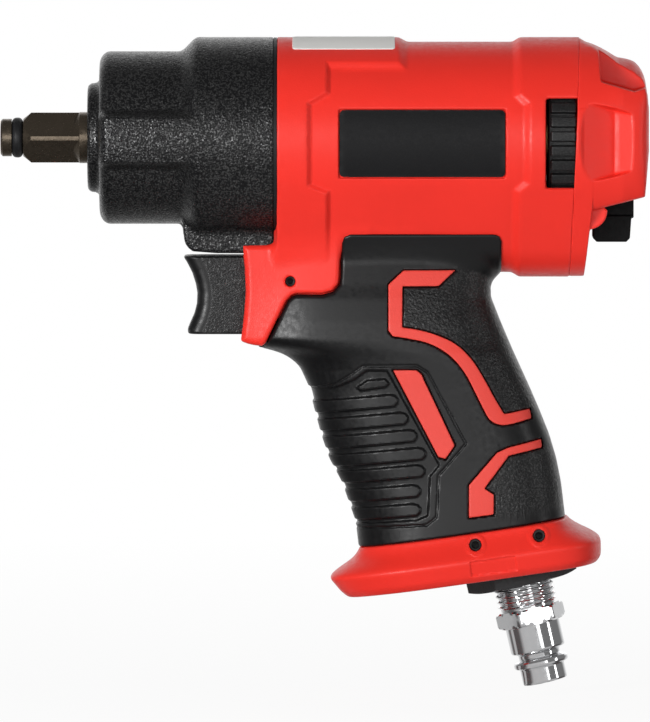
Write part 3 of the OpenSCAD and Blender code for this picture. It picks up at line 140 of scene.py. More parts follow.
def rounded(a, b, radius):
    """Both fields at once, with the edge between them rounded."""
    a, b = a + radius, b + radius
    return np.minimum(np.maximum(a, b), 0) + np.hypot(np.maximum(a, 0), np.maximum(b, 0)) - radius


def ease(t):
    """A smooth step from 0 to 1."""
    t = np.clip(t, 0, 1)
    return t * t * (3 - 2 * t)


def ramp(d, width):
    """1 inside a field and 0 outside, over a width."""
    return ease(0.5 - d / width)


def edges(points, closed=True):
    ends = points[1:] + points[:1] if closed else points[1:]
    return list(zip(points, ends))


def line(g, points, closed=False):
    """Distance in the side view from a drawn line."""
    best = None
    for (ax, az), (bx, bz) in edges(points, closed):
        ex, ez = bx - ax, bz - az
        t = np.clip(((g.x - ax) * ex + (g.z - az) * ez) / (ex * ex + ez * ez), 0, 1)
        d = np.hypot(g.x - ax - ex * t, g.z - az - ez * t)
        best = d if best is None else np.minimum(best, d)
    return best


def outline(g, points, cut=0):
    """Signed distance in the side view from a closed outline, its corners cut some times."""
    for _ in range(cut):
        points = [tuple(0.01 * (s * a + (100 - s) * b) for a, b in zip(p, q))
                  for p, q in edges(points) for s in (75, 25)]
    inside = np.zeros(np.broadcast(g.x, g.z).shape, bool)
    for (ax, az), (bx, bz) in edges(points):
        if az != bz:
            spans = (g.z >= min(az, bz)) & (g.z < max(az, bz))
            inside ^= spans & (g.x < ax + (g.z - az) * (bx - ax) / (bz - az))
    d = line(g, points, True)
    return np.where(inside, -d, d)


def curve(*points):
    """Points along a smooth line through some places."""
    p = np.array((points[0],) + points + (points[-1],), float)
    out = []
    for a, b, c, d in zip(p, p[1:], p[2:], p[3:]):
        second, third = 2 * a - 5 * b + 4 * c - d, 3 * (b - c) + d - a
        out += [tuple(b + 0.5 * t * (c - a + t * (second + t * third))) for t in (0, 0.25, 0.5, 0.75)]
    return out + [points[-1]]


def along_line(x, xs, values):
    """Values at x on straight lines between some places."""
    return np.interp(x, xs, values).astype(np.float32)


def along_curve(x, xs, values):
    """Values at x on a smooth line through some places."""
    return along_line(x, *np.array(curve(*zip(xs, values))).T)


def cap_face(g):
    """Where the end cap meets the housing: a plane that leans a little outside the ring's pocket."""
    lean, level, pocket_r, blend = 0.041, 8, 23.7, 0.5
    t = np.clip((g.r - pocket_r) / blend, 0, 1)
    return X_CAP + lean * (g.z - level) * t * t * (3 - 2 * t)


def egg(g, rise=0):
    """The barrel's section: a circle and a smaller one under it, joined by tangents."""
    b = (BARREL_R - LOBE_R) / LOBE_Z
    a = math.sqrt(1 - b * b)
    across, down = g.y, -g.z
    k = a * down - b * across
    d = np.where(k < 0, g.r - BARREL_R, np.where(
        k > a * LOBE_Z, np.hypot(across, down - LOBE_Z) - LOBE_R, a * across + b * down - BARREL_R))
    return (d - rise).astype(np.float32)


def at_height(rows, z, soft):
    """Rows of (height, values...) read off smoothly at heights z."""
    rows = np.array(sorted(rows))
    step = 0.25
    fine = np.arange(rows[0, 0] - soft, rows[-1, 0] + soft, step)
    kernel = np.hanning(2 * int(soft / step) + 1)
    pad = len(kernel) // 2
    out = []
    for column in rows.T[1:]:
        values = np.pad(np.interp(fine, rows[:, 0], column), pad, mode="edge")
        out.append(along_line(z, fine, np.convolve(values, kernel / kernel.sum(), "valid")))
    return out


# A section's width along its length, in shares of both
SHARE = np.linspace(-0.5, 1.5, 401)
SOFTEN = np.hanning(61) / np.hanning(61).sum()
WIDTHS = np.interp(SHARE, (0, 0.1, 0.25, 0.5, 0.9), (0.76, 0.83, 0.93, 1.0, 1.05))
WIDTH_AT = np.convolve(np.pad(WIDTHS, len(SOFTEN) // 2, "edge"), SOFTEN, "valid")


def section(x, y, front, back, half, blunt=1.0):
    """A blunt oval between front and back, widest behind its middle, with a blunter back if wished."""
    length = back - front
    t = (x - front) / length
    wide = (half * np.interp(t, SHARE, WIDTH_AT)).astype(np.float32)
    a = np.abs(2 * t - 1)
    steep = 1.0
    if blunt > 1:
        power = np.where(t > 0.5, blunt, 1.0).astype(np.float32)
        steep = power * a ** (power - 1)
        a = a ** power
    b = y / wide
    g = np.maximum(np.cbrt(a * a * a + b * b * b), 0.05)
    slope = np.hypot(2 * steep * (a / g) ** 2 / length, (b / g) ** 2 / wide)
    return (g - 1) / np.maximum(slope, 0.01)


# The handle's height, front, back and half width
HANDLE = [
    (-22, 57, 124.2, 12.4), (-30, 57.2, 123.4, 12.8), (-36.5, 57.5, 122.6, 14),
    (-39.6, 57.5, 122.4, 14.8), (-45.6, 57.3, 124.75, 15.8), (-50, 57, 126.6, 16.2),
    (-51.8, 62, 127.4, 16.3), (-52.8, 67.2, 127.8, 16.4), (-53.9, 70.4, 128.3, 16.4),
    (-55.4, 72.8, 129, 16.4), (-57.2, 74.7, 129.8, 16.4), (-62, 76.9, 132, 16.4),
    (-68, 78.4, 134.6, 16.5), (-74, 80, 137, 16.6), (-80, 82, 138.8, 16.8), (-86, 85.2, 140, 17),
    (-96, 88.7, 141.2, 17.4), (-116, 91, 143, 17.8),
]


def handle(g):
    front, back, half = at_height(HANDLE, g.z, 1.6)
    return section(g.x, g.y, front, back, half)


GRIP_EDGE = seen(
    (350, 233), (494, 233), (500, 235), (503, 241), (503, 271), (498, 284), (494, 290), (720, 290),
    (720, 820), (200, 820), (200, 350), (263, 347), (266, 344), (287, 301), (292, 296), (297, 294),
    (323, 294), (333, 291), (339, 284), (340, 275), (340.6, 243), (343, 236), near=13)


def grip_zone(g):
    return outline(g, GRIP_EDGE)


# From fields to meshes

CELL = [(i, j, k) for i in (0, 1) for j in (0, 1) for k in (0, 1)]
CELL_EDGES = [(a, b) for a in range(8) for b in range(a + 1, 8)
              if sum(p != q for p, q in zip(CELL[a], CELL[b])) == 1]


def skin(field, g):
    """Points, four-sided faces and layer-0 cell ids of a half field's surface."""
    inside = field < 0
    count = np.zeros(tuple(n - 1 for n in field.shape), np.uint8)
    view = [slice(None, -1), slice(1, None)]
    for c in CELL:
        count += inside[tuple(view[i] for i in c)]
    cells = np.argwhere((count > 0) & (count < 8))
    ids = np.full(count.shape, -1, np.int32)
    ids[tuple(cells.T)] = np.arange(len(cells))
    values = np.stack([field[tuple((cells + c).T)] for c in CELL])
    total = np.zeros((len(cells), 3))
    crossings = np.zeros(len(cells))
    for a, b in CELL_EDGES:
        crossed = (values[a] < 0) != (values[b] < 0)
        t = np.where(crossed, values[a] / np.where(crossed, values[a] - values[b], 1), 0)[:, None]
        p = np.array(CELL[a]) + t * (np.array(CELL[b]) - np.array(CELL[a]))
        total += np.where(crossed[:, None], p, 0)
        crossings += crossed
    points = g.lo + g.h * (cells + total / crossings[:, None])
    faces = []
    for axis in range(3):
        u, v = (axis + 1) % 3, (axis + 2) % 3
        first = [slice(1, -1)] * 3
        second = [slice(1, -1)] * 3
        first[axis], second[axis] = slice(None, -1), slice(1, None)
        if axis == 1:
            first[1], second[1] = slice(1, -1), slice(2, None)
        low, high = inside[tuple(first)], inside[tuple(second)]
        at = np.argwhere(low != high)
        flip = high[tuple(at.T)]
        at = at + [1 if s.start == 1 else 0 for s in first]
        quad = []
        for du, dv in ((-1, -1), (0, -1), (0, 0), (-1, 0)):
            c = at.copy()
            c[:, u] += du
            c[:, v] += dv
            quad.append(ids[tuple(c.T)])
        quad = np.stack(quad, 1)
        faces.append(np.where(flip[:, None], quad[:, ::-1], quad))
    return points, np.concatenate(faces), cells


def whole(far, near, g):
    """Both halves joined at the mid-plane; near is the -Y half's own field."""
    points, faces, cells = skin(far, g)
    if near is far:
        points_2, faces_2, cells_2 = points.copy(), faces, cells
    else:
        points_2, faces_2, cells_2 = skin(near, g)
    points[cells[:, 1] == 0, 1] = 0
    points_2 = points_2 * [1, -1, 1]
    shared = {(c[0], c[2]): n for n, c in enumerate(cells) if c[1] == 0}
    moved = np.arange(len(points_2)) + len(points)
    for n in np.flatnonzero(cells_2[:, 1] == 0):
        moved[n] = shared[(cells_2[n, 0], cells_2[n, 2])]
    points = np.concatenate([points, points_2])
    faces = np.concatenate([faces, moved[faces_2][:, ::-1]])
    used = np.unique(faces)
    new = np.zeros(len(points), np.int64)
    new[used] = np.arange(len(used))
    return points[used], new[faces]


def mesh_of(name, points, faces):
    mesh = bpy.data.meshes.new(name)
    mesh.vertices.add(len(points))
    mesh.vertices.foreach_set("co", (np.asarray(points) * MM).astype(np.float32).ravel())
    n = faces.shape[1]
    mesh.loops.add(faces.size)
    mesh.loops.foreach_set("vertex_index", faces.astype(np.int32).ravel())
    mesh.polygons.add(len(faces))
    mesh.polygons.foreach_set("loop_start", np.arange(0, faces.size, n, dtype=np.int32))
    mesh.update(calc_edges=True)
    return mesh


def read(items, key, width, kind=np.float32):
    values = np.zeros(width * len(items), kind)
    items.foreach_get(key, values)
    return values.reshape(-1, width)


def points_of(mesh):
    return read(mesh.vertices, "co", 3) / MM


def write(mesh, key, values):
    """Adds a value to each point of a mesh, for its material."""
    layer = mesh.attributes.new(key, "FLOAT", "POINT")
    layer.data.foreach_set("value", values.astype(np.float32))


def slopes(field, g, points):
    """Unit normals of a half field at points of its +Y side."""
    f = np.clip((points - g.lo) / g.h, 0.001, np.array(field.shape) - 1.001)
    i = f.astype(int)
    t = f - i
    v = [field[tuple((i + c).T)] for c in CELL]
    n = np.zeros_like(t)
    for corner, value in zip(CELL, v):
        near = np.where(corner, t, 1 - t)
        for axis in range(3):
            weight = near[:, axis - 1] * near[:, axis - 2]
            n[:, axis] += (2 * corner[axis] - 1) * weight * value
    return n / np.maximum(np.linalg.norm(n, axis=1, keepdims=True), 1e-6)


def mark_edges(mesh):
    """Writes how sharply each point of a mesh stands out, for edges that are both worn and painted
    lighter as a highlight.
    """
    n = len(mesh.vertices)
    a, b = read(mesh.edges, "vertices", 2, np.int32).T
    normals, points = read(mesh.vertices, "normal", 3), points_of(mesh)
    d = points[b] - points[a]
    d /= np.maximum(np.linalg.norm(d, axis=1, keepdims=True), 1e-6)
    count = np.maximum(np.bincount(a, minlength=n) + np.bincount(b, minlength=n), 1)
    bend = np.bincount(a, -(d * normals[a]).sum(1), n) + np.bincount(b, (d * normals[b]).sum(1), n)
    bend = bend / count
    bend = (np.bincount(a, bend[b], n) + np.bincount(b, bend[a], n)) / count
    least, full = 0.05, 0.25
    write(mesh, "wear_and_highlight", np.clip((bend - least) / (full - least), 0, 1))


def shade(mesh, sharp):
    """Smooth shading, apart from edges sharper than an angle in degrees."""
    mesh.polygons.foreach_set("use_smooth", np.ones(len(mesh.polygons), bool))
    mesh.set_sharp_from_angle(angle=math.radians(sharp))


def placed(name, data):
    """A new object in the scene."""
    thing = bpy.data.objects.new(name, data)
    bpy.context.scene.collection.objects.link(thing)
    return thing


def add_object(name, mesh, body, node, material):
    mark_edges(mesh)
    piece = placed(name, mesh)
    mesh.materials.append(material)
    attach(piece, body)
    if node:
        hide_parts(node)
    return piece


MOST_FACES = 185000


def moulded(name, far, g, body, node, material, near=None, grain=None):
    """A piece with the surface of a half field and its mirror image; grain says where it is grained."""
    near = far if near is None else near
    points, faces = whole(far, near, g)
    mesh = mesh_of(name, points, faces)
    if 2 * len(faces) > MOST_FACES:
        draft = placed(name + "_draft", mesh)
        thin = draft.modifiers.new("thin", "DECIMATE")
        thin.ratio = MOST_FACES / (2 * len(faces))
        graph = bpy.context.evaluated_depsgraph_get()
        thinned = bpy.data.meshes.new_from_object(draft.evaluated_get(graph))
        bpy.data.objects.remove(draft)
        bpy.data.meshes.remove(mesh)
        mesh = thinned
        mesh.name = name
    points = points_of(mesh)
    left = points[:, 1] < 0
    flat = np.abs(points)
    flat[:, [0, 2]] = points[:, [0, 2]]
    normals = slopes(far, g, flat)
    if near is not far and left.any():
        normals[left] = slopes(near, g, flat[left])
    normals[left, 1] *= -1
    mesh.polygons.foreach_set("use_smooth", np.ones(len(mesh.polygons), bool))
    mesh.normals_split_custom_set_from_vertices(normals)
    if grain is not None:
        i = ((points - g.lo) / g.h + 0.5).astype(int)
        i = np.clip(i, 0, np.array(grain.shape) - 1)
        write(mesh, "grain", grain[tuple(i.T)])
    add_object(name, mesh, body, node, material)


# Materials

def nodes_of(name):
    material = bpy.data.materials.new(name)
    material.use_nodes = True
    tree = material.node_tree
    return material, tree, tree.nodes["Principled BSDF"]


def feed(value, socket):
    """Sets a socket, or links it to another."""
    if isinstance(value, bpy.types.NodeSocket):
        value.id_data.links.new(value, socket)
    else:
        socket.default_value = value


def new_node(tree, kind, *values, **settings):
    """A node with some settings, its first sockets fed."""
    node = tree.nodes.new("ShaderNode" + kind)
    for key, value in settings.items():
        setattr(node, key, value)
    for value, socket in zip(values, node.inputs):
        feed(value, socket)
    return node


def noise(place, scale, detail):
    node = new_node(place.id_data, "TexNoise", place)
    feed(scale, node.inputs["Scale"])
    feed(detail, node.inputs["Detail"])
    return node.outputs[0]


def mixed(factor, a, b):
    """A colour between two colours or sockets."""
    node = new_node(factor.id_data, "Mix", factor, data_type="RGBA")
    feed(a, node.inputs[6])
    feed(b, node.inputs[7])
    return node.outputs[2]


def scaled(value, low, high, start=0.0, stop=1.0):
    """From low to high as the value goes from start to stop."""
    return new_node(value.id_data, "MapRange", value, start, stop, low, high).outputs[0]


def times(a, b):
    return new_node(a.id_data, "Math", a, b, operation="MULTIPLY").outputs[0]


def larger(a, b):
    return new_node(a.id_data, "Math", a, b, operation="MAXIMUM").outputs[0]


def finish(name, colour, rough, grain, metallic=0.0, vary=0.12, masked=False, rough_vary=0.08,
           stretch=None, specks=None, gloss=0.5, wear_and_highlight_amount=0.35):
    """A procedural material.

    grain is layers of (scale per metre, depth in metres), with True after them for a layer that shows
    only where the piece is grained. specks are dots of bare grey that glint: (scale per metre, amount,
    grey), and masked keeps them to where the piece is grained too.
    """
    material, tree, shader = nodes_of(name)
    spot = spot_grain = new_node(tree, "TexCoord").outputs["Object"]
    if stretch:
        mapping = new_node(tree, "Mapping", spot)
        feed(stretch, mapping.inputs["Scale"])
        spot_grain = mapping.outputs[0]
    feed(metallic, shader.inputs["Metallic"])
    feed(gloss, shader.inputs["Specular IOR Level"])
    dark = tuple(c * (1 - vary) for c in colour) + (1,)
    light = tuple(min(1, c * (1 + vary)) for c in colour) + (1,)
    tint = mixed(noise(spot, 55.0, 4.0), dark, light)
    grained = new_node(tree, "Attribute", attribute_name="grain").outputs["Fac"] if masked else None
    if specks:
        scale, amount, grey = specks
        share = scaled(noise(spot_grain, scale, 1.0), 0.0, amount, 0.50, 0.66)
        if masked:
            share = times(share, grained)
        tint = mixed(share, tint, (grey, grey, grey, 1))
        feed(share, shader.inputs["Metallic"])
    # Convex edges are painted lighter: partly wear, partly a painted highlight along the edges.
    edge = new_node(tree, "Attribute", attribute_name="wear_and_highlight").outputs["Fac"]
    bare = times(edge, scaled(noise(spot, 420.0, 3.0), 0.0, wear_and_highlight_amount, 0.35, 0.65))
    tint = mixed(bare, tint, tuple(min(1, 1.25 * c + 0.06) for c in colour) + (1,))
    feed(tint, shader.inputs["Base Color"])
    patches = noise(spot_grain, 900.0, 3.0)
    feed(scaled(patches, rough - rough_vary, rough + rough_vary, 0.3, 0.7), shader.inputs["Roughness"])
    normal = None
    for scale, depth, *by_grain in grain:
        height = noise(spot_grain, scale, 1.5)
        bump = new_node(tree, "Bump")
        feed(1.0, bump.inputs["Strength"])
        feed(depth, bump.inputs["Distance"])
        feed(times(height, grained) if by_grain else height, bump.inputs["Height"])
        if normal:
            feed(normal, bump.inputs["Normal"])
        normal = bump.outputs[0]
    feed(normal, shader.inputs["Normal"])
    return material


RED = finish("red_composite", (0.84, 0.030, 0.019), 0.40, vary=0.05, gloss=0.28,
             grain=((2600, 3e-5),))
LAND = finish("red_lands", (0.76, 0.062, 0.046), 0.42, vary=0.08, gloss=0.28, grain=((2200, 4e-5),))
CASTING = finish("black_casting", (0.0045, 0.0045, 0.005), 0.29, vary=0.2, gloss=0.22,
                 grain=((2200, 1.8e-4),), specks=(2250, 1.0, 0.10), wear_and_highlight_amount=0.25)
RUBBER = finish("grip_rubber", (0.004, 0.004, 0.0044), 0.37, vary=0.12, masked=True, gloss=0.33,
                grain=((1500, 2.2e-4, True), (1100, 1.2e-5)),
                specks=(2300, 1.0, 0.06), wear_and_highlight_amount=0.2)
MOULDED = finish("black_moulding", (0.005, 0.005, 0.0054), 0.38, vary=0.12, masked=True, gloss=0.34,
                 grain=((2300, 1.6e-4, True), (1100, 1e-5)),
                 specks=(2700, 1.0, 0.06), wear_and_highlight_amount=0.25)
# The lever's black is a duller, slightly darker copy of the black moulding: painted shade, where the hood
# shades the lever.
SHADED_KNOB = finish("lever_black_shaded", (0.004, 0.004, 0.0042), 0.42, vary=0.2, masked=True, gloss=0.08,
              grain=((2300, 1.2e-4, True),), wear_and_highlight_amount=0.2)
PLATE = finish("bare_plate", (0.008, 0.008, 0.0088), 0.5, vary=0.2, gloss=0.14,
               grain=((2200, 3e-5),), specks=(2600, 0.4, 0.025))
LABEL = finish("bare_label", (0.88, 0.87, 0.84), 0.5, vary=0.04, gloss=0.3, grain=((2500, 1e-5),))
PHOSPHATE = finish("phosphated_steel", (0.115, 0.092, 0.068), 0.30, metallic=0.9, vary=0.35,
                   grain=((1600, 5e-5),))
CHROME = finish("plated", (0.74, 0.745, 0.755), 0.09, metallic=1.0, vary=0.04, rough_vary=0.03,
                grain=((700, 2e-6),))
WORN = finish("worn_edge", (0.34, 0.30, 0.26), 0.32, metallic=1.0, vary=0.3,
              grain=((1600, 4e-5),))
BY_SLOT = {
    "red_plastic": RED,
    "grip_rubber": RUBBER,
    "black_plastic": MOULDED,
    "black_casting": CASTING,
    "phosphated_steel": PHOSPHATE,
    "hardened_steel": finish("hardened_steel", (0.30, 0.29, 0.28), 0.36, metallic=1.0, vary=0.2,
                             grain=((900, 2e-5),), stretch=(0.15, 1, 1)),
    "bright_steel": finish("bright_steel", (0.58, 0.58, 0.57), 0.26, metallic=1.0, vary=0.08,
                           grain=((900, 1e-5),), stretch=(1, 0.2, 0.2)),
    "black_steel": finish("black_steel", (0.007, 0.007, 0.0075), 0.42, vary=0.25, gloss=0.2,
                          grain=((1800, 3e-5),)),
    "chrome": CHROME,
    "bronze": finish("bronze", (0.55, 0.39, 0.18), 0.38, metallic=1.0, vary=0.15,
                     grain=((1500, 3e-5),)),
    "seal_rubber": finish("seal_rubber", (0.010, 0.010, 0.011), 0.48, vary=0.15, gloss=0.25,
                          grain=((2600, 3e-5),)),
    "vane_composite": finish("vane_composite", (0.26, 0.15, 0.07), 0.6, vary=0.25,
                             grain=((900, 4e-5),), stretch=(0.2, 1, 1)),
    "valve_plastic": finish("valve_plastic", (0.58, 0.55, 0.48), 0.45, vary=0.06,
                            grain=((2000, 2e-5),)),
    "felt": finish("felt", (0.42, 0.42, 0.37), 0.92, vary=0.2, grain=((1600, 3e-4),)),
    "black_bushing": finish("black_bushing", (0.008, 0.008, 0.009), 0.36, vary=0.2, gloss=0.35,
                            grain=((1500, 3e-5),)),
}


# Hammer case

def hammer_case():
    g = Grid((20.5, 69.5), 27, (-30.5, 27), 0.36)
    rib_z, rib_half, rib_flank, cone_len, blend = 0.2, 6.5, 2.2, 5.0, 0.7
    cone = (0.5 * (X_CONE + X_REAR) - g.x) / cone_len
    flank = (np.abs(g.z - rib_z) - rib_half) / rib_flank
    large = ease(0.5 - smooth_min(cone, flank, blend))
    even, case_edge, nose_r, nose_edge, fillet = 0.8, 2.7, 13.6, 1.4, 1.6
    body = (g.r - CASE_R - (BAND_R - CASE_R) * large) * even
    body = rounded(body, X_CASE - g.x, case_edge)
    body = smooth_min(body, rounded(g.r - nose_r, X_NOSE - g.x, nose_edge), fillet)
    lug = outline(g, [(45.4, -16), (45.6, -24.4), (46.4, -26.8), (48.6, -28.5), (70, -28.6),
                      (70, -16)], 1)
    lug_half, lug_edge, lug_fillet, back_edge = 10, 1.0, 1.2, 0.4
    body = smooth_min(body, rounded(lug, g.y - lug_half, lug_edge), lug_fillet)
    body = rounded(body, g.x - X_GASKET, back_edge)
    journal_r, bushing_x, hammers_r, motor_x = 6.9, 22.5, 18.2, 64.8
    screw_y, screw_z, head_r, head_x = 5.5, -24.6, 3.5, 53.8
    body = carved(
        body,
        meet(g.r - journal_r, g.x - X_CAVITY),
        meet(g.r - HUB_BORE_R, bushing_x - g.x, g.x - X_CAVITY - 1),
        meet(g.r - hammers_r, X_CAVITY - g.x),
        meet(g.r - MOTOR_BORE_R, motor_x - g.x),
        meet(np.hypot(g.y - screw_y, g.z - screw_z) - head_r, g.x - head_x),
    )
    moulded("hammer_case_cast", body, g, "body", "hammer_case", CASTING)


# Housing

BANDS = (
    (1.6, seen((270, -80), (330, -80), (328, 93), (309, 104), (309, 185), (328, 193), (328, 400),
               (270, 400), near=22)),
    (3.0, seen((270, -80), (403, -80), (403, 66), (270, 66), near=17)),
    (2.6, seen((517, -80), (700, -80), (700, 400), (516, 400), (516, 192), (527, 182), (527, 104),
               (517, 95), near=22)),
)
MOUTH = (seen((242, 245), (277, 245), (277, 190), (420, 190), near=11.8)
         + seen((420, 352), (264, 352), (260, 347.5), (241, 339), (244, 316), (246, 290), (245, 266)))
CORE = [(69.5, -18), (121, -18), (121, -40), (150, -45), (150, -125), (60, -125), (60, -53.5),
        (67.5, -53.5), (69.5, -50)]
PLATE_SEAT = seen((339.5, 110), (505, 110), (505, 177.5), (339.5, 177.5), near=22.9)


def housing():
    g = Grid((58.5, 144.5), 27, (-105.5, 26.5), 0.45)
    form = handle(g)
    above = g.base()[1]
    rise = (BAND_R - BARREL_R) * np.maximum.reduce([ramp(outline(g, band), soft) for soft, band in BANDS])
    barrel = rounded(egg(g) - rise, meet(X_HOUSING - g.x, g.x - cap_face(g)), 0.15)
    cheek_end, fillet, mouth_edge, grip_edge = 90, 3.0, 1.6, 1.1
    cheek = meet(g.y - along_line(g.x, (58, 66, 84), (11.4, 12.0, 12.9)), g.x - cheek_end)
    block = rounded(smooth_min(form, cheek, fillet), outline(g, MOUTH), mouth_edge)
    block = rounded(block, PARTING - grip_zone(g), grip_edge)
    core_gap, core_foot = 0.05, 5.05
    core = meet(form + GRIP_T + core_gap, core_foot - above, outline(g, CORE))
    ahead = g.x - X_HOUSING
    lug_half, lug_z = 10.2, -28.8
    turn = np.abs(np.degrees(np.arctan2(g.z, np.maximum(g.y, 1e-3))) - RING_AT)
    per_degree, pads_turn, window_turn = 0.42, 47.5, 27.2
    ring_r, pads_r, window_r, window_in, window_edge = 19.2, 23.9, 18, 0.2, 0.6
    trigger_half, trigger_z, trigger_half_h, trigger_x = 6.8, -39.15, 10.05, 69.3
    throttle_x, throttle_half, pin_r = 93.5, 24.5, 1.3
    high, radius = g.inlet()
    shank_r, shank_end = 9.42, 23.5
    solid = carved(
        join(smooth_min(barrel, block, fillet), core),
        meet(ahead, g.r - BAND_R - PARTING),
        meet(ahead, g.y - lug_half, lug_z - g.z),
        meet(g.r - MOTOR_BORE_R, g.x - X_MOTOR_END),
        meet(g.r - HUB_BORE_R, g.x - X_POCKET - 1),
        meet(g.r - ring_r, X_POCKET - g.x),
        meet(g.r - pads_r, X_POCKET - g.x, (turn - pads_turn) * per_degree),
        rounded(X_POCKET - window_in - g.x, meet((turn - window_turn) * per_degree, window_r - g.r),
                window_edge),
        meet(g.y - trigger_half, np.abs(g.z - trigger_z) - trigger_half_h, g.x - trigger_x),
        meet(np.hypot(g.y, g.z - THROTTLE_Z) - THROTTLE_R, np.abs(g.x - throttle_x) - throttle_half),
        np.hypot(g.x - ROLL_PIN_X, g.z - THROTTLE_Z) - pin_r,
        meet(radius - shank_r, high - shank_end),
    )
    plate_gap, plate_deep = 0.15, 0.75
    near = carved(solid, meet(outline(g, PLATE_SEAT) - plate_gap, BARREL_R - plate_deep - g.r))
    moulded("housing_shell", solid, g, "body", "housing", RED, near=near)


# Rubber grip with its red lands

INLAYS = [
    seen((403.7, 271), (455.7, 271), (438.7, 287), (402.7, 287),
         *curve((402.3, 327.7), (416.5, 329.7), (436, 335), (456, 344.6), (472, 360), (484.7, 380),
                (495.6, 400), (504.5, 414.7)),
         (530, 410), (532, 419.7),
         *curve((513, 424.6), (501.5, 425.6), (491.7, 421.7), (485.7, 413.8), (475.8, 394), (464, 372),
                (448, 354.4), (428.4, 343.6), (406.6, 338.6), (392.8, 336.6)),
         (388.3, 330.7), (388.3, 285.2), near=16.3),
    seen((393, 370.4), *curve((416.3, 370.4), (421.5, 374.5), (424.7, 381.6)), (455, 445.7),
         (445.7, 459.4), (438.4, 457.3), near=16.5),
    seen((541.5, 440.5), (542.5, 449), (509, 456.3), (484.7, 489), (494, 495), (494, 515), (469, 518.4),
         (469, 485.7), (497.3, 453), (509, 448), near=16.8),
]
PANEL = seen((318, 389), (334, 389), (354, 380.5), (367, 371), (387, 371), (439.4, 465.7), (430, 477),
             (428, 516), (417, 521), (355, 526.5), (200, 540), (200, 389), near=16.5)
PANEL_RIM = seen((318, 388), (333, 386.5), (350, 376), (363, 366.4), (417, 366), (427.5, 372.5),
                 (466, 444), (438.6, 476), (436.5, 518), (427, 525.5), (356, 531), near=16.5)
RIB_TIPS = ((398, 401.6), (408, 419.4), (417, 436.7), (425.7, 454.6), (424.7, 472), (420.5, 492),
            (420.5, 511))
RIBS = [seen((a - 8, b - 6.4), (a - 3, b - 5.4), (a, b - 2), (a, b + 1.5), (a - 3.5, b + 5.4),
             (a - 133, b + 19.4), (a - 135, b + 7), near=16.5) for a, b in RIB_TIPS]
RIBS.append(seen((357, 388.5), (367, 381), (385, 379.5), (389, 384), (386, 387.5), (361, 391.5),
                 near=16.5))
ROUGH = [
    seen((400, 287), (438.7, 287), (455.7, 271), (470, 273), (494, 284), (540, 300), (620, 400),
         (532, 408), (504.5, 413), (495.6, 398), (484.7, 378), (472, 358), (456, 343), (436, 333),
         (416.5, 328), (401, 326), near=16.3),
    seen((509, 456.3), (542.5, 450), (640, 430), (640, 500), (545, 506), (495, 515), (494, 495),
         (484.7, 489), near=16.8),
]


def grip():
    g = Grid((63.5, 143.5), 19.5, (-103, -22.5), 0.33)
    form = handle(g)
    above = g.base()[1]
    ribs = join(*(outline(g, p) for p in RIBS))
    inlay = join(*(outline(g, p) for p in INLAYS))
    panel_deep, groove_deep, groove_half, window_deep, window_gap = 0.55, 0.32, 0.24, 1.1, 0.16
    depth = np.maximum.reduce([
        panel_deep * ramp(outline(g, PANEL), 0.45) * (1 - ramp(ribs, 0.5)),
        groove_deep * np.clip(1.3 - line(g, PANEL_RIM) / groove_half, 0, 1),
        window_deep * ramp(inlay - window_gap, 0.22),
    ])
    wrap_rise, fillet, zone_edge, foot_edge = 0.8, 3.0, 1.0, 0.4
    outer = smooth_min(form, egg(g, wrap_rise), fillet)
    body = rounded(outer + depth, grip_zone(g) + PARTING, zone_edge)
    body = rounded(body, COLLAR_H + PARTING - above, foot_edge)
    body = carved(body, join(form + GRIP_T - SEAT, egg(g, SEAT)))
    grain = np.maximum.reduce([ramp(outline(g, p) - 0.5, 1.8) for p in ROUGH])
    moulded("grip_rubber", body, g, "body", "grip_overmould", RUBBER, grain=grain)
    land_sunk, land_edge, land_root = 0.1, 0.25, 1.05
    land = carved(rounded(outer + land_sunk, inlay, land_edge), outer + land_root)
    moulded("grip_lands", land, g, "body", None, LAND)


# End cap, lever and power ring

CREST_X = (143, 145.75, 147.75, 149.75, 151.75, 153.75, 155.75, 157.75, 159.0, 160.0, 160.8, 161.4)
CREST_Z = (26.2, 24.1, 23.4, 22.5, 21.4, 20.2, 19.8, 19.2, 18.2, 16.8, 14.8, 11.5)
CROWN_X = (147, 149, 151, 153, 155, 157, 159, 160.4, 161.5)
CROWN = (0.002, 0.006, 0.009, 0.012, 0.020, 0.029, 0.031, 0.02, 0.02)
SIDE_X = (143, 147, 150.5, 155, 158, 159.2, 160.2, 161, 161.5)
SIDE_Y = (25.1, 24.8, 23.9, 22.6, 21.7, 21.2, 20.4, 19.2, 17.4)


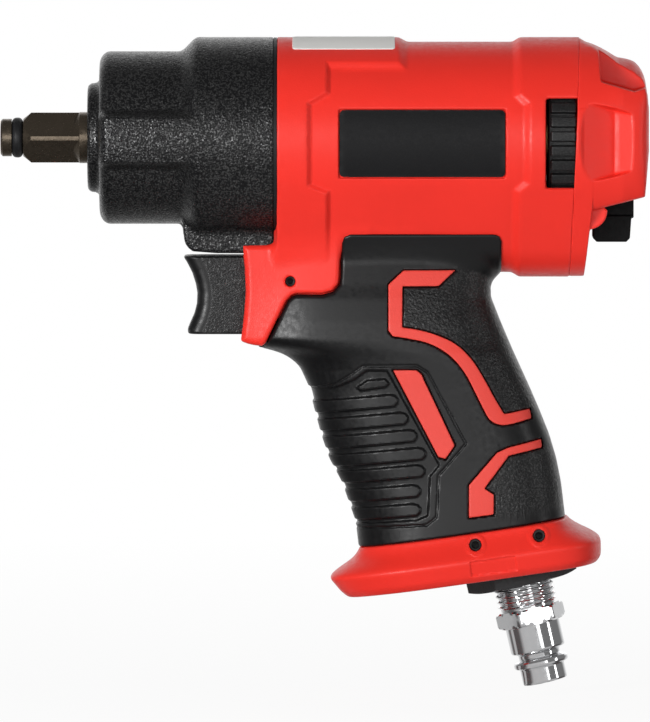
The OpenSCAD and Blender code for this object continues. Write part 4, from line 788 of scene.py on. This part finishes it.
def end_cap():
    g = Grid((141.4, 162.3), 26.5, (-36.5, 26), 0.3)
    face = cap_face(g) - LAP - g.x
    foot_z, foot_lean, flange_top = -17.6, 0.105, 8
    back = np.minimum(X_HOOD + 0.35 + foot_lean * (g.z - foot_z), X_HOOD + 0.4)
    flange = rounded(egg(g, 1.0), meet(face, g.x - back), 0.12)
    flange = meet(flange, g.z - flange_top)

    # Hood: its crest, sides and rear
    crown_half = 11
    crown = along_line(g.x, CROWN_X, CROWN) * np.minimum(g.y, crown_half) ** 2
    crest = (g.z + crown - along_curve(g.x, CREST_X, CREST_Z)) * 0.85
    flank = (g.y - along_curve(g.x, SIDE_X, SIDE_Y)) * 0.93
    around = (g.r - along_line(g.x, (143, 147, 155, 161.5), (25.1, 24.9, 24.4, 22.4))) * 0.97
    rear = outline(g, [(140, 40), (X_END, 40), (X_END, -2.8), (160.6, -14.2), (147.2, foot_z),
                       (140, foot_z)])
    hood = smooth_max(smooth_max(crest, around, 0.6), flank, 2.4)
    hood = meet(rounded(hood, rear, 0.7), face)

    # Pocket in each upper corner: its front and inner walls and its ramp
    front, inner = 149.1 + 0.06 * (22 - g.z) - g.x, 9.3 - g.y
    ramp_z = 11.7 + 2.5 * np.clip((157.7 - g.x) / 8.5, 0, 1) + 0.3 * np.clip(g.x - 158, 0, 4)
    pocket = rounded(rounded(front, inner, 0.4), ramp_z + 0.4 - g.z, 0.6)
    solid = join(flange, smooth_max(hood, -pocket, 0.25))

    # Hollow in each side: its sloping bottom and its walls above, below and behind
    out = g.y - along_line(g.x, (143.9, 145.2, 152.9), (25.3, 23.9, 19.2))
    over = (g.z - 9.9 + 0.30 * (g.x - 144.9) - 0.2 * out) * 0.94
    under = (-g.z - 10.6 + 0.28 * (g.x - 145.7) - 0.12 * out) * 0.95
    behind = (g.x - 153.2 - 1.7 * out) * 0.5
    hollow = smooth_max(smooth_max(-out * 0.85, over, 0.8), under, 1.0)
    solid = smooth_max(solid, -smooth_max(hollow, behind, 0.6), 0.35)

    gusset = outline(g, [(146, -15), (151.4, -17), (151.0, -19.6), (149.6, -21.4), (147.4, -22.4),
                         (146, -22.4)], 1)
    gusset_y, gusset_half, gusset_edge, hub_r, hub_gap = 14.4, 1.0, 0.4, 13.95, 0.3
    solid = join(
        solid,
        rounded(gusset, np.abs(g.y - gusset_y) - gusset_half, gusset_edge),
        meet(g.r - hub_r, X_POCKET + hub_gap - g.x, g.x - X_CAP - 1),
    )
    inside = meet(X_HOOD - g.x, g.x - X_END + 3.2)
    lever_r, lever_half, stem_r = 11, 10.55, 3.05
    bolt = np.hypot(g.y - BOLT_Y, g.z - BOLT_Z)
    bolt_r, bolt_gap, bolt_x, seat_in = 1.75, 0.15, 149.3, 1.2
    recess_r, recess_x = 2.36, 144.45
    solid = carved(
        solid,
        meet(inside, g.r - lever_r),
        meet(inside, g.y - lever_half, g.z),
        g.r - stem_r,
        meet(bolt - bolt_r, g.x - bolt_x),
        meet(bolt - BOLT_HEAD_R - bolt_gap, X_HOOD - seat_in - g.x, g.x - bolt_x),
        meet(np.hypot(g.y - CAP_SCREW_Y, g.z - CAP_SCREW_Z) - recess_r, recess_x - g.x),
    )
    moulded("rear_cap", solid, g, "body", "end_cap", RED)


def lever():
    g = Grid((146.8, 159), 6.6, (-27, 6), 0.24)
    neck = outline(g, [(147.8, -17), (147.8, -20), (158.05, -20), (158.05, -15.4), (157.05, -14.4),
                       (149.35, -14.4)])
    knob = outline(g, [(147.8, -19.2), (157.5, -19.2), (157.1, -25.0), (156.2, -25.9), (148.8, -25.9),
                       (147.8, -24.9)])
    arm = outline(g, [(148.3, 0), (148.3, -17), (154.1, -17), (154.1, 0)])
    neck_half, knob_half, edge, arm_half = 4.2, 5.0, 0.35, 3.5
    hub_r, hub_x, hub_half, stem_r = 5.4, 152.05, 2.7, 3.02
    solid = join(
        rounded(neck, g.y - neck_half, edge),
        rounded(knob, g.y - knob_half, edge),
        meet(arm, g.y - arm_half),
        meet(g.r - hub_r, np.abs(g.x - hub_x) - hub_half),
    )
    solid = carved(solid, g.r - stem_r)
    grain = 0.4 * ramp(outline(g, [(140, -19.5), (170, -19.5), (170, -30), (140, -30)]), 0.5)
    moulded("lever_knob", solid, g, "lever", "direction_lever", SHADED_KNOB, grain=grain)


def power_ring():
    """The ring with a pad of flat blocks at each side."""
    g = Grid((136.4, 144.2), 24.4, (-22.5, 20), 0.2)
    turn = np.degrees(np.arctan2(g.z, np.maximum(g.y, 1e-3))) - RING_AT
    half_len, ring_r, bore_r, pad_r, pad_root_r = 3.35, 18.9, 14, 22.2, 17.9
    block_r, block_root_r, block_half = 23.55, 21, 0.35
    pitch, half_pad, per_degree = 9.0, 36.0, 0.41
    ends = np.abs(g.x - 0.5 * (X_POCKET + X_CAP)) - half_len
    sides = (np.abs(turn) - half_pad) * per_degree
    ring = rounded(meet(g.r - ring_r, bore_r - g.r), ends, 0.25)
    pad = rounded(meet(g.r - pad_r, pad_root_r - g.r, sides), ends, 0.3)
    place = (turn / pitch + 40) % 1 - 0.5
    block = meet((np.abs(place) - block_half) * pitch * per_degree, sides)
    block = rounded(meet(g.r - block_r, block_root_r - g.r), block, 0.3)
    block = rounded(block, meet(137.1 - g.x, g.x - 143.4), 0.4)
    moulded("ring_blocks", join(ring, pad, block), g, "power_ring", "power_ring",
            MOULDED, grain=np.full((g.x.size, 1, g.z.size), 0.5))


# Trigger

TRIGGER_FRONT = seen((183, 255), (187.5, 262), (192.5, 272), (196, 283), (197.5, 292), (197, 303),
                     (194.5, 313), (190.5, 322), (188, 328))


def trigger():
    g = Grid((44.8, 79), 7.4, (-50, -28.6), 0.24)
    front = outline(g, TRIGGER_FRONT + [(47, -60), (90, -60), (90, -20), (45, -20)])
    top, bottom, back, half, side_edge, end_edge = -29.4, -48.9, 62.5, 6.5, 3.2, 0.6
    ends = meet(g.z - top, bottom - g.z, g.x - back)
    body = rounded(rounded(front, g.y - half, side_edge), ends, end_edge)
    stem_r, stem_x, stem_end, slot_half, slot_x, slot_half_len = 4, 62, 78, 1.55, 70.0, 4.2
    stem = meet(np.hypot(g.y, g.z - THROTTLE_Z) - stem_r, stem_x - g.x, g.x - stem_end)
    slot = meet(np.abs(g.z - THROTTLE_Z) - slot_half, np.abs(g.x - slot_x) - slot_half_len)
    smooth_strip = 3.6
    grain = ramp(smooth_strip - line(g, TRIGGER_FRONT), 0.8)
    moulded("trigger_blade", join(body, carved(stem, slot)), g, "trigger", "trigger",
            MOULDED, grain=grain)


# Base collar

# The collar's height above the base, front, back and half width
COLLAR = [(-1, -31, 31.5, 20), (0, -31, 31.5, 20), (1.12, -32.4, 32.9, 21.6), (5.6, -35.2, 33.5, 23),
          (7.39, -32.3, 31.4, 21.4), (8.93, -29, 29, 20), (10.46, -27.3, 27, 18.8),
          (12, -26.3, 25.8, 18.2), (13, -26, 25.5, 18)]


def base_collar():
    g = Grid((81, 152.5), 24.5, (-119, -92), 0.36)
    along, above = g.base()
    front, back, half = at_height(COLLAR, above, 1.5)
    back_blunt, collar_edge = 2.2, 0.5
    outer = section(along, g.y, front, back, half, back_blunt)
    body = rounded(outer, meet(-above, above - COLLAR_H), collar_edge)
    boss_r, boss_rise, boss_edge, boss_fillet, pin_r, pin_y = 2.5, 0.35, 0.25, 0.6, 1.52, 10.5
    for u, w in PIN_AT:
        reach = np.hypot(along - u, above - w)
        body = smooth_min(body, rounded(reach - boss_r, outer - boss_rise, boss_edge), boss_fillet)
        body = carved(body, meet(reach - pin_r, pin_y - g.y))
    high, radius = g.inlet()
    floor, hexagon_r = 2.0, 14.86
    body = carved(
        body,
        meet(handle(g) + GRIP_T - SEAT, floor - above),
        meet(radius - hexagon_r, high - BUSHING_H),
    )
    hole_r, hole_pitch, hole_start, hole_deep = 1.5, 4.4, -22, 3
    for u in np.arange(5) * hole_pitch + hole_start:
        for v in (0, 5.5):
            body = carved(body, meet(np.hypot(along - u, g.y - v) - hole_r, above - hole_deep))
    mark_x, mark_half, mark_z, mark_half_h, mark_deep = 5.9, 5.7, 3.6, 1.85, 0.42
    mark = meet(np.abs(along - mark_x) - mark_half, np.abs(above - mark_z) - mark_half_h)
    near = carved(body, meet(mark, -mark_deep - outer))
    moulded("exhaust_collar", body, g, "body", "base_collar", RED, near=near)


# Thin trim on the barrel, small turned parts, spring and plug

def strips(rows, around, closed=False):
    """Four-sided faces between rows of points round a form, also from last to first if closed."""
    i = np.arange(around)
    j = (i + 1) % around
    k = np.arange(rows if closed else rows - 1)[:, None]
    k, m = k * around, (k + 1) % rows * around
    return np.stack([k + i, k + j, m + j, m + i], 2).reshape(-1, 4)


# The corners of such a face the other way round
REVERSED = [0, 3, 2, 1]


def sheet_on_barrel(name, x, angle, radius, thick, corner, material):
    """A thin plate bent round the barrel, from angles in degrees from -Y toward +Z."""
    mid_x, mid_a = 0.5 * (x[0] + x[1]), math.radians(0.5 * (angle[0] + angle[1]))
    half_x, half_a = 0.5 * (x[1] - x[0]), math.radians(0.5 * (angle[1] - angle[0])) * radius
    ring, fine = [], []
    for cx, ca, turn in ((1, 1, 0), (-1, 1, 90), (-1, -1, 180), (1, -1, 270)):
        for t in np.radians(turn + 15 * np.arange(7)):
            ring.append((cx * (half_x - corner) + corner * math.cos(t),
                         ca * (half_a - corner) + corner * math.sin(t)))
    spacing = 0.8
    for (u, v), (p, q) in edges(ring):
        n = max(1, int(math.hypot(p - u, q - v) / spacing))
        fine += [(u + (p - u) * k / n, v + (q - v) * k / n) for k in range(n)]
    fine = np.array(fine)
    n, rings, edge, top = len(fine), 14, 0.1, radius + thick
    shares = np.arange(1, rings + 1) / rings
    under = [(fine * share, radius) for share in shares]
    over = [(fine * share, top) for share in shares[-2::-1]]
    brim = [(fine, top - edge), (fine * [1 - edge / half_x, 1 - edge / half_a], top)]
    loops = under + brim + over + [(np.zeros((1, 2)), radius), (np.zeros((1, 2)), top)]
    flat = np.concatenate([p for p, _ in loops])
    r = np.concatenate([np.full(len(p), r) for p, r in loops])
    a = mid_a + flat[:, 1] / radius
    points = np.stack([mid_x + flat[:, 0], -r * np.cos(a), r * np.sin(a)], 1)
    faces, centre = strips(len(loops) - 2, n).tolist(), len(points) - 2
    for i in range(n):
        j = (i + 1) % n
        faces += [(j, i, centre), (centre - n + i, centre - n + j, centre + 1)]
    mesh = bpy.data.meshes.new(name)
    mesh.from_pydata((points * MM).tolist(), [], faces)
    mesh.update()
    shade(mesh, 40)
    add_object(name, mesh, "body", None, material)


def turned(rows, around=40):
    """Points and faces of a form turned about X from rows of (radius, x), closed at both ends."""
    turn = 2 * math.pi * np.arange(around) / around
    rows = [(0.02, rows[0][1])] + rows + [(0.02, rows[-1][1])]
    points = [np.stack([np.full(around, x), r * np.cos(turn), r * np.sin(turn)], 1) for r, x in rows]
    return np.concatenate(points), strips(len(rows), around)


def small_part(name, forms, node, slot):
    """A piece made of turned forms that are already in place."""
    count, points, faces = 0, [], []
    for p, f in forms:
        points.append(p)
        faces.append(f + count)
        count += len(p)
    mesh = mesh_of(name, np.concatenate(points), np.concatenate(faces))
    shade(mesh, 40)
    add_object(name, mesh, "body", node, BY_SLOT[slot])


def across(p, x, z, side=1):
    """Turned points laid along Y at a place in the side view."""
    return np.stack([x - side * p[:, 1], side * p[:, 0], z + p[:, 2]], 1)


def roll_pin():
    """A rolled pin across the trigger's stem, hollow at its ends."""
    half, r, bore, deep = 11.3, 1.25, 0.72, 2.5
    end = [(bore, deep), (bore, 0.1), (0.85, 0), (1.1, 0), (r, 0.15)]
    p, f = turned([(q, x - half) for q, x in end] + [(q, half - x) for q, x in end[::-1]])
    small_part("rolled_pin", [(across(p, ROLL_PIN_X, THROTTLE_Z), f)], "roll_pin", "black_steel")


def collar_pins():
    """Hollow pins across the collar, two at each side."""
    c, s = math.cos(BASE_TILT), math.sin(BASE_TILT)
    forms = []
    for (u, w), reach in zip(PIN_AT, (19.35, 19.75)):
        p, f = turned([(1.35, 10.6), (1.5, 10.8), (1.5, reach - 0.2), (1.35, reach), (1.0, reach),
                       (0.85, reach - 0.15), (0.85, reach - 2.5)])
        x, z = BASE[0] + u * c - w * s, BASE[1] + u * s + w * c
        forms += [(across(p, x, z, side), f) for side in (1, -1)]
    small_part("collar_pins_hollow", forms, "collar_pins", "black_steel")


def cap_screws():
    """The cap's two lower screws, their heads with sockets."""
    forms = []
    for side in (-1, 1):
        p, f = turned([(1.2, 129.9), (1.5, 130.2), (1.5, 144.47), (2.3, 144.47), (2.3, 145.85),
                       (2.15, 146.0), (1.3, 146.0), (1.2, 145.9), (1.2, 145.0)])
        forms.append((p + [0, side * CAP_SCREW_Y, CAP_SCREW_Z], f))
    small_part("cap_screws_sunk", forms, "cap_screws", "black_steel")


def spring():
    """The throttle's coil spring, wound over the length of its solid."""
    solid = frame["nodes"]["throttle_spring"]
    co = np.array([solid.matrix_world @ v.co for v in solid.data.vertices]) / MM
    wire, coils, per_coil, sides = 0.45, 5, 32, 10
    start, stop = co[:, 0].min(), co[:, 0].max()
    wind = np.hypot(co[:, 1], co[:, 2] - THROTTLE_Z).max() - wire
    k = np.arange(coils * per_coil + 1)
    a = (2 * math.pi * k / per_coil)[:, None]
    b = (2 * math.pi * np.arange(sides) / sides)[None, :]
    r = wind + wire * np.cos(b)
    x = start + wire + (stop - start - 2 * wire) * (k / k[-1])[:, None] + wire * np.sin(b)
    points = np.stack([x, r * np.cos(a), THROTTLE_Z + r * np.sin(a)], 2).reshape(-1, 3)
    faces = strips(len(k), sides)[:, REVERSED]
    for end, turn in ((0, 1), (k[-1] * sides, -1)):
        points = np.concatenate([points, points[end:end + sides].mean(0, keepdims=True)])
        pair = np.arange(0, sides, 2)
        centre = np.full(len(pair), len(points) - 1)
        fan = np.stack([centre, end + pair, end + pair + 1, end + (pair + 2) % sides], 1)
        faces = np.concatenate([faces, fan[:, ::turn]])
    mesh = mesh_of("valve_spring", points, faces)
    shade(mesh, 50)
    steel = "bright_steel"
    piece = add_object("valve_spring", mesh, "body", "throttle_spring", BY_SLOT[steel])
    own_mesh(piece)


def plug():
    """The plug turned about its axis: thread, hexagon, body, groove, collar and nose, with its bore."""
    z_in = 9.0
    z_hex, z_body, z_groove, z_collar, z_nose, z_tip = -np.cumsum((6.2, 4.2, 6.8, 2.0, 1.9, 4.2))
    around = 144
    pitch, thread_r, root, runout = 1.35, 7.5, 0.6, 0.9
    turn = 2 * math.pi * np.arange(around) / around
    heights, radii = [], []

    def add(z, r):
        heights.append(z)
        radii.append(np.broadcast_to(r, around))

    for z in np.arange(z_in, z_hex + 0.2, -pitch / 10):
        wave = np.abs(((z / pitch + turn / (2 * math.pi)) % 1) * 2 - 1)
        crest = np.clip(wave * 1.5 - 0.25, 0, 1) * min(1, (z - z_hex - 0.2) / runout)
        add(z, thread_r - root * (1 - crest))
    flats, hex_turn = 15.3, math.radians(49)
    hexagon = flats / 2 / np.cos((turn + hex_turn) % (math.pi / 3) - math.pi / 6)
    for z, cap in ((z_hex, 6.9), (z_hex - 0.02, 7.75), (z_hex - 0.45, 8.45), (z_hex - 0.9, 9),
                   (z_hex - 2, 9), (z_body + 0.9, 9), (z_body + 0.45, 8.45), (z_body + 0.02, 7.75),
                   (z_body, 6.95)):
        add(z, np.minimum(hexagon, cap) if cap > 7 else cap)
    for z, r in ((z_body - 0.15, 6.85), (z_groove + 0.6, 6.85), (z_groove + 0.2, 6.72), (z_groove, 6.4),
                 (z_groove - 0.25, 5.5), (z_groove - 0.6, 5.22), (z_collar + 0.6, 5.2),
                 (z_collar + 0.25, 5.5), (z_collar, 6.3), (z_collar - 0.2, 6.65),
                 (z_collar - 0.6, 6.85), (z_nose + 0.7, 6.85), (z_nose + 0.25, 6.65), (z_nose, 6.2),
                 (z_nose - 0.1, 5.7), (z_nose - 0.4, 5.6), (z_tip + 0.5, 5.6), (z_tip + 0.12, 5.45),
                 (z_tip, 5.1), (z_tip, 4.3), (z_tip + 0.3, 3.85), (z_tip + 1.2, 3.8), (z_in, 3.8)):
        add(z, r)
    c, s = math.cos(INLET_TILT), math.sin(INLET_TILT)
    points = []
    for z, r in zip(heights, radii):
        u, v = r * np.cos(turn), r * np.sin(turn)
        points.append(np.stack([INLET[0] + u * c - z * s, v, INLET[1] + u * s + z * c], 1))
    faces = strips(len(points), around, closed=True)[:, REVERSED]
    mesh = mesh_of("plug_turned", np.concatenate(points), faces)
    shade(mesh, 16)
    add_object("plug_turned", mesh, "body", "air_plug", CHROME)


hammer_case()
housing()
grip()
end_cap()
lever()
power_ring()
trigger()
roll_pin()
collar_pins()
cap_screws()
base_collar()
sheet_on_barrel("name_plate", (84.6, 125.7), (-22.2, 18.7), 23.3, 0.72, 1.2, PLATE)
sheet_on_barrel("blank_label", (72.9, 98.4), (63.0, 89.0), 25.06, 0.2, 0.8, LABEL)
spring()
plug()

# Finishes and softened edges of the solids that stay
EDGE = {"anvil": 0.25, "inlet_bushing": 0.35, "long_bolts": 0.2, "case_screws": 0.2, "lever_screw": 0.15}
slot_of = {row["node"]: row["material_slot"] for row in frame["record"]["subparts"]}
for node, solid in frame["nodes"].items():
    solid.data.materials.clear()
    solid.data.materials.append(BY_SLOT[slot_of[node]])
    if node in EDGE:
        bevel = solid.modifiers.new("edge", "BEVEL")
        bevel.width = EDGE[node] * MM
        bevel.segments = 2
        if node == "anvil":
            solid.data.materials.append(WORN)
            bevel.material = 1
        bevel.limit_method = "ANGLE"
        bevel.angle_limit = math.radians(35)
        bevel.harden_normals = False

# Camera, floor and light
TARGET = Vector((VIEW_X, 0, VIEW_Z)) * MM
camera = bpy.data.cameras.new("camera")
camera.sensor_fit = "VERTICAL"
camera.sensor_height = 24
camera.lens = camera.sensor_height * VIEW_D / VIEW_H
camera.clip_start = 0.05
eye = placed("camera", camera)
eye.location = TARGET + VIEW_D * MM * Vector((0, -math.cos(LOOK_DOWN), math.sin(LOOK_DOWN)))
eye.rotation_euler = (math.pi / 2 - LOOK_DOWN, 0, 0)
bpy.context.scene.camera = eye

# Each lamp's place, size and watts
LAMPS = {
    "key": ((-0.62, -0.98, 0.08), (0.36, 0.36), 9.8),
    "front": ((0.10, -1.20, 0.0), (1.3, 0.6), 5.6),
    "right": ((1.00, -0.35, 0.0), (0.14, 0.7), 1.4),
    "back": ((0.30, 1.30, 0.65), (1.9, 1.2), 3.0),
}
for name, (place, size, watts) in LAMPS.items():
    data = bpy.data.lights.new(name, "AREA")
    data.shape = "RECTANGLE"
    data.size, data.size_y = size
    data.energy = watts
    lamp = placed(name, data)
    lamp.location = place
    lamp.rotation_euler = (TARGET - Vector(place)).to_track_quat("-Z", "Y").to_euler()


def seen_white(room):
    """1 for rays that show the background, by camera, gloss or glass; room darkens the last two."""
    path = new_node(room.id_data, "LightPath").outputs
    mirrored = larger(path["Is Glossy Ray"], path["Is Transmission Ray"])
    return larger(path["Is Camera Ray"], times(mirrored, room))


def split(vector):
    """The X, Y and Z of a vector."""
    return new_node(vector.id_data, "SeparateXYZ", vector).outputs


def vector_math(operation, vector, other=(0, 0, 0)):
    return new_node(vector.id_data, "VectorMath", vector, other, operation=operation).outputs


world = bpy.data.worlds.new("studio")
bpy.context.scene.world = world
world.use_nodes = True
tree = world.node_tree
backdrop = tree.nodes["Background"].inputs
feed((1, 1, 1, 1), backdrop["Color"])
# The room in front of the backdrop is darker
toward = split(new_node(tree, "TexCoord").outputs["Generated"])
room = scaled(toward["Y"], 0.0, 1.0, 0.55, 0.95)
feed(scaled(seen_white(room), 0.2, 1.0), backdrop["Strength"])

FLOOR_Z, FLOOR_HALF = -0.1392, 9.0
MIDDLE, PLUG_FOOT = (0.12, 0, FLOOR_Z), (0.137, 0, FLOOR_Z)
floor_mesh = bpy.data.meshes.new("floor")
corners = [(x * FLOOR_HALF, y * FLOOR_HALF, FLOOR_Z) for x, y in ((-1, -1), (1, -1), (1, 1), (-1, 1))]
floor_mesh.from_pydata(corners, [], [(0, 1, 2, 3)])
floor = placed("floor", floor_mesh)
material, tree, shader = nodes_of("floor")
feed(0.9, shader.inputs["Roughness"])
spot = new_node(tree, "TexCoord").outputs["Object"]
at = split(spot)
fade = scaled(vector_math("DISTANCE", spot, MIDDLE)["Value"], 0.93, 1.0, 0.05, 0.6)
# Polished metal sees white behind it, and a painted reflection: pale stripes on the floor, shown only to
# mirrored rays, at some bearings from the plug's foot
from_foot = vector_math("SUBTRACT", spot, PLUG_FOOT)["Vector"]
bearing = split(vector_math("NORMALIZE", from_foot)["Vector"])
stripe = times(scaled(bearing["Y"], 0.0, 0.5, -0.02, 0.04), scaled(bearing["Y"], 1.0, 0.0, 0.24, 0.32))
reflection_stripes = larger(scaled(bearing["Y"], 0.5, 0.0, -0.62, -0.4), scaled(bearing["Y"], 0.0, 0.8, 0.45, 0.7))
reflection_stripes = larger(reflection_stripes, times(stripe, scaled(bearing["X"], 1.0, 0.0, -0.5, -0.3)))
reflection_stripes = times(scaled(at["X"], 0.0, 1.0, 0.03, 0.05), reflection_stripes)
reflection_stripes = times(reflection_stripes, scaled(at["Y"], 0.0, 1.0, -0.6, -0.3))
room = larger(scaled(at["Y"], 0.0, 1.0, 0.0, 0.35), reflection_stripes)
white = times(seen_white(room), fade)
mirror = new_node(tree, "LightPath").outputs["Is Glossy Ray"]
# Mirrored rays see the floor darker, most of all in front: painted shade in the reflections on glossy
# parts' undersides.
feed(mixed(mirror, (0.82, 0.82, 0.82, 1), (0.2, 0.2, 0.2, 1)), shader.inputs["Base Color"])
glow = new_node(tree, "Emission", (1, 1, 1, 1))
mixer = new_node(tree, "MixShader", white, shader.outputs[0], glow.outputs[0])
feed(mixer.outputs[0], tree.nodes["Material Output"].inputs["Surface"])
floor_mesh.materials.append(material)

bpy.context.scene.view_settings.view_transform = "Standard"
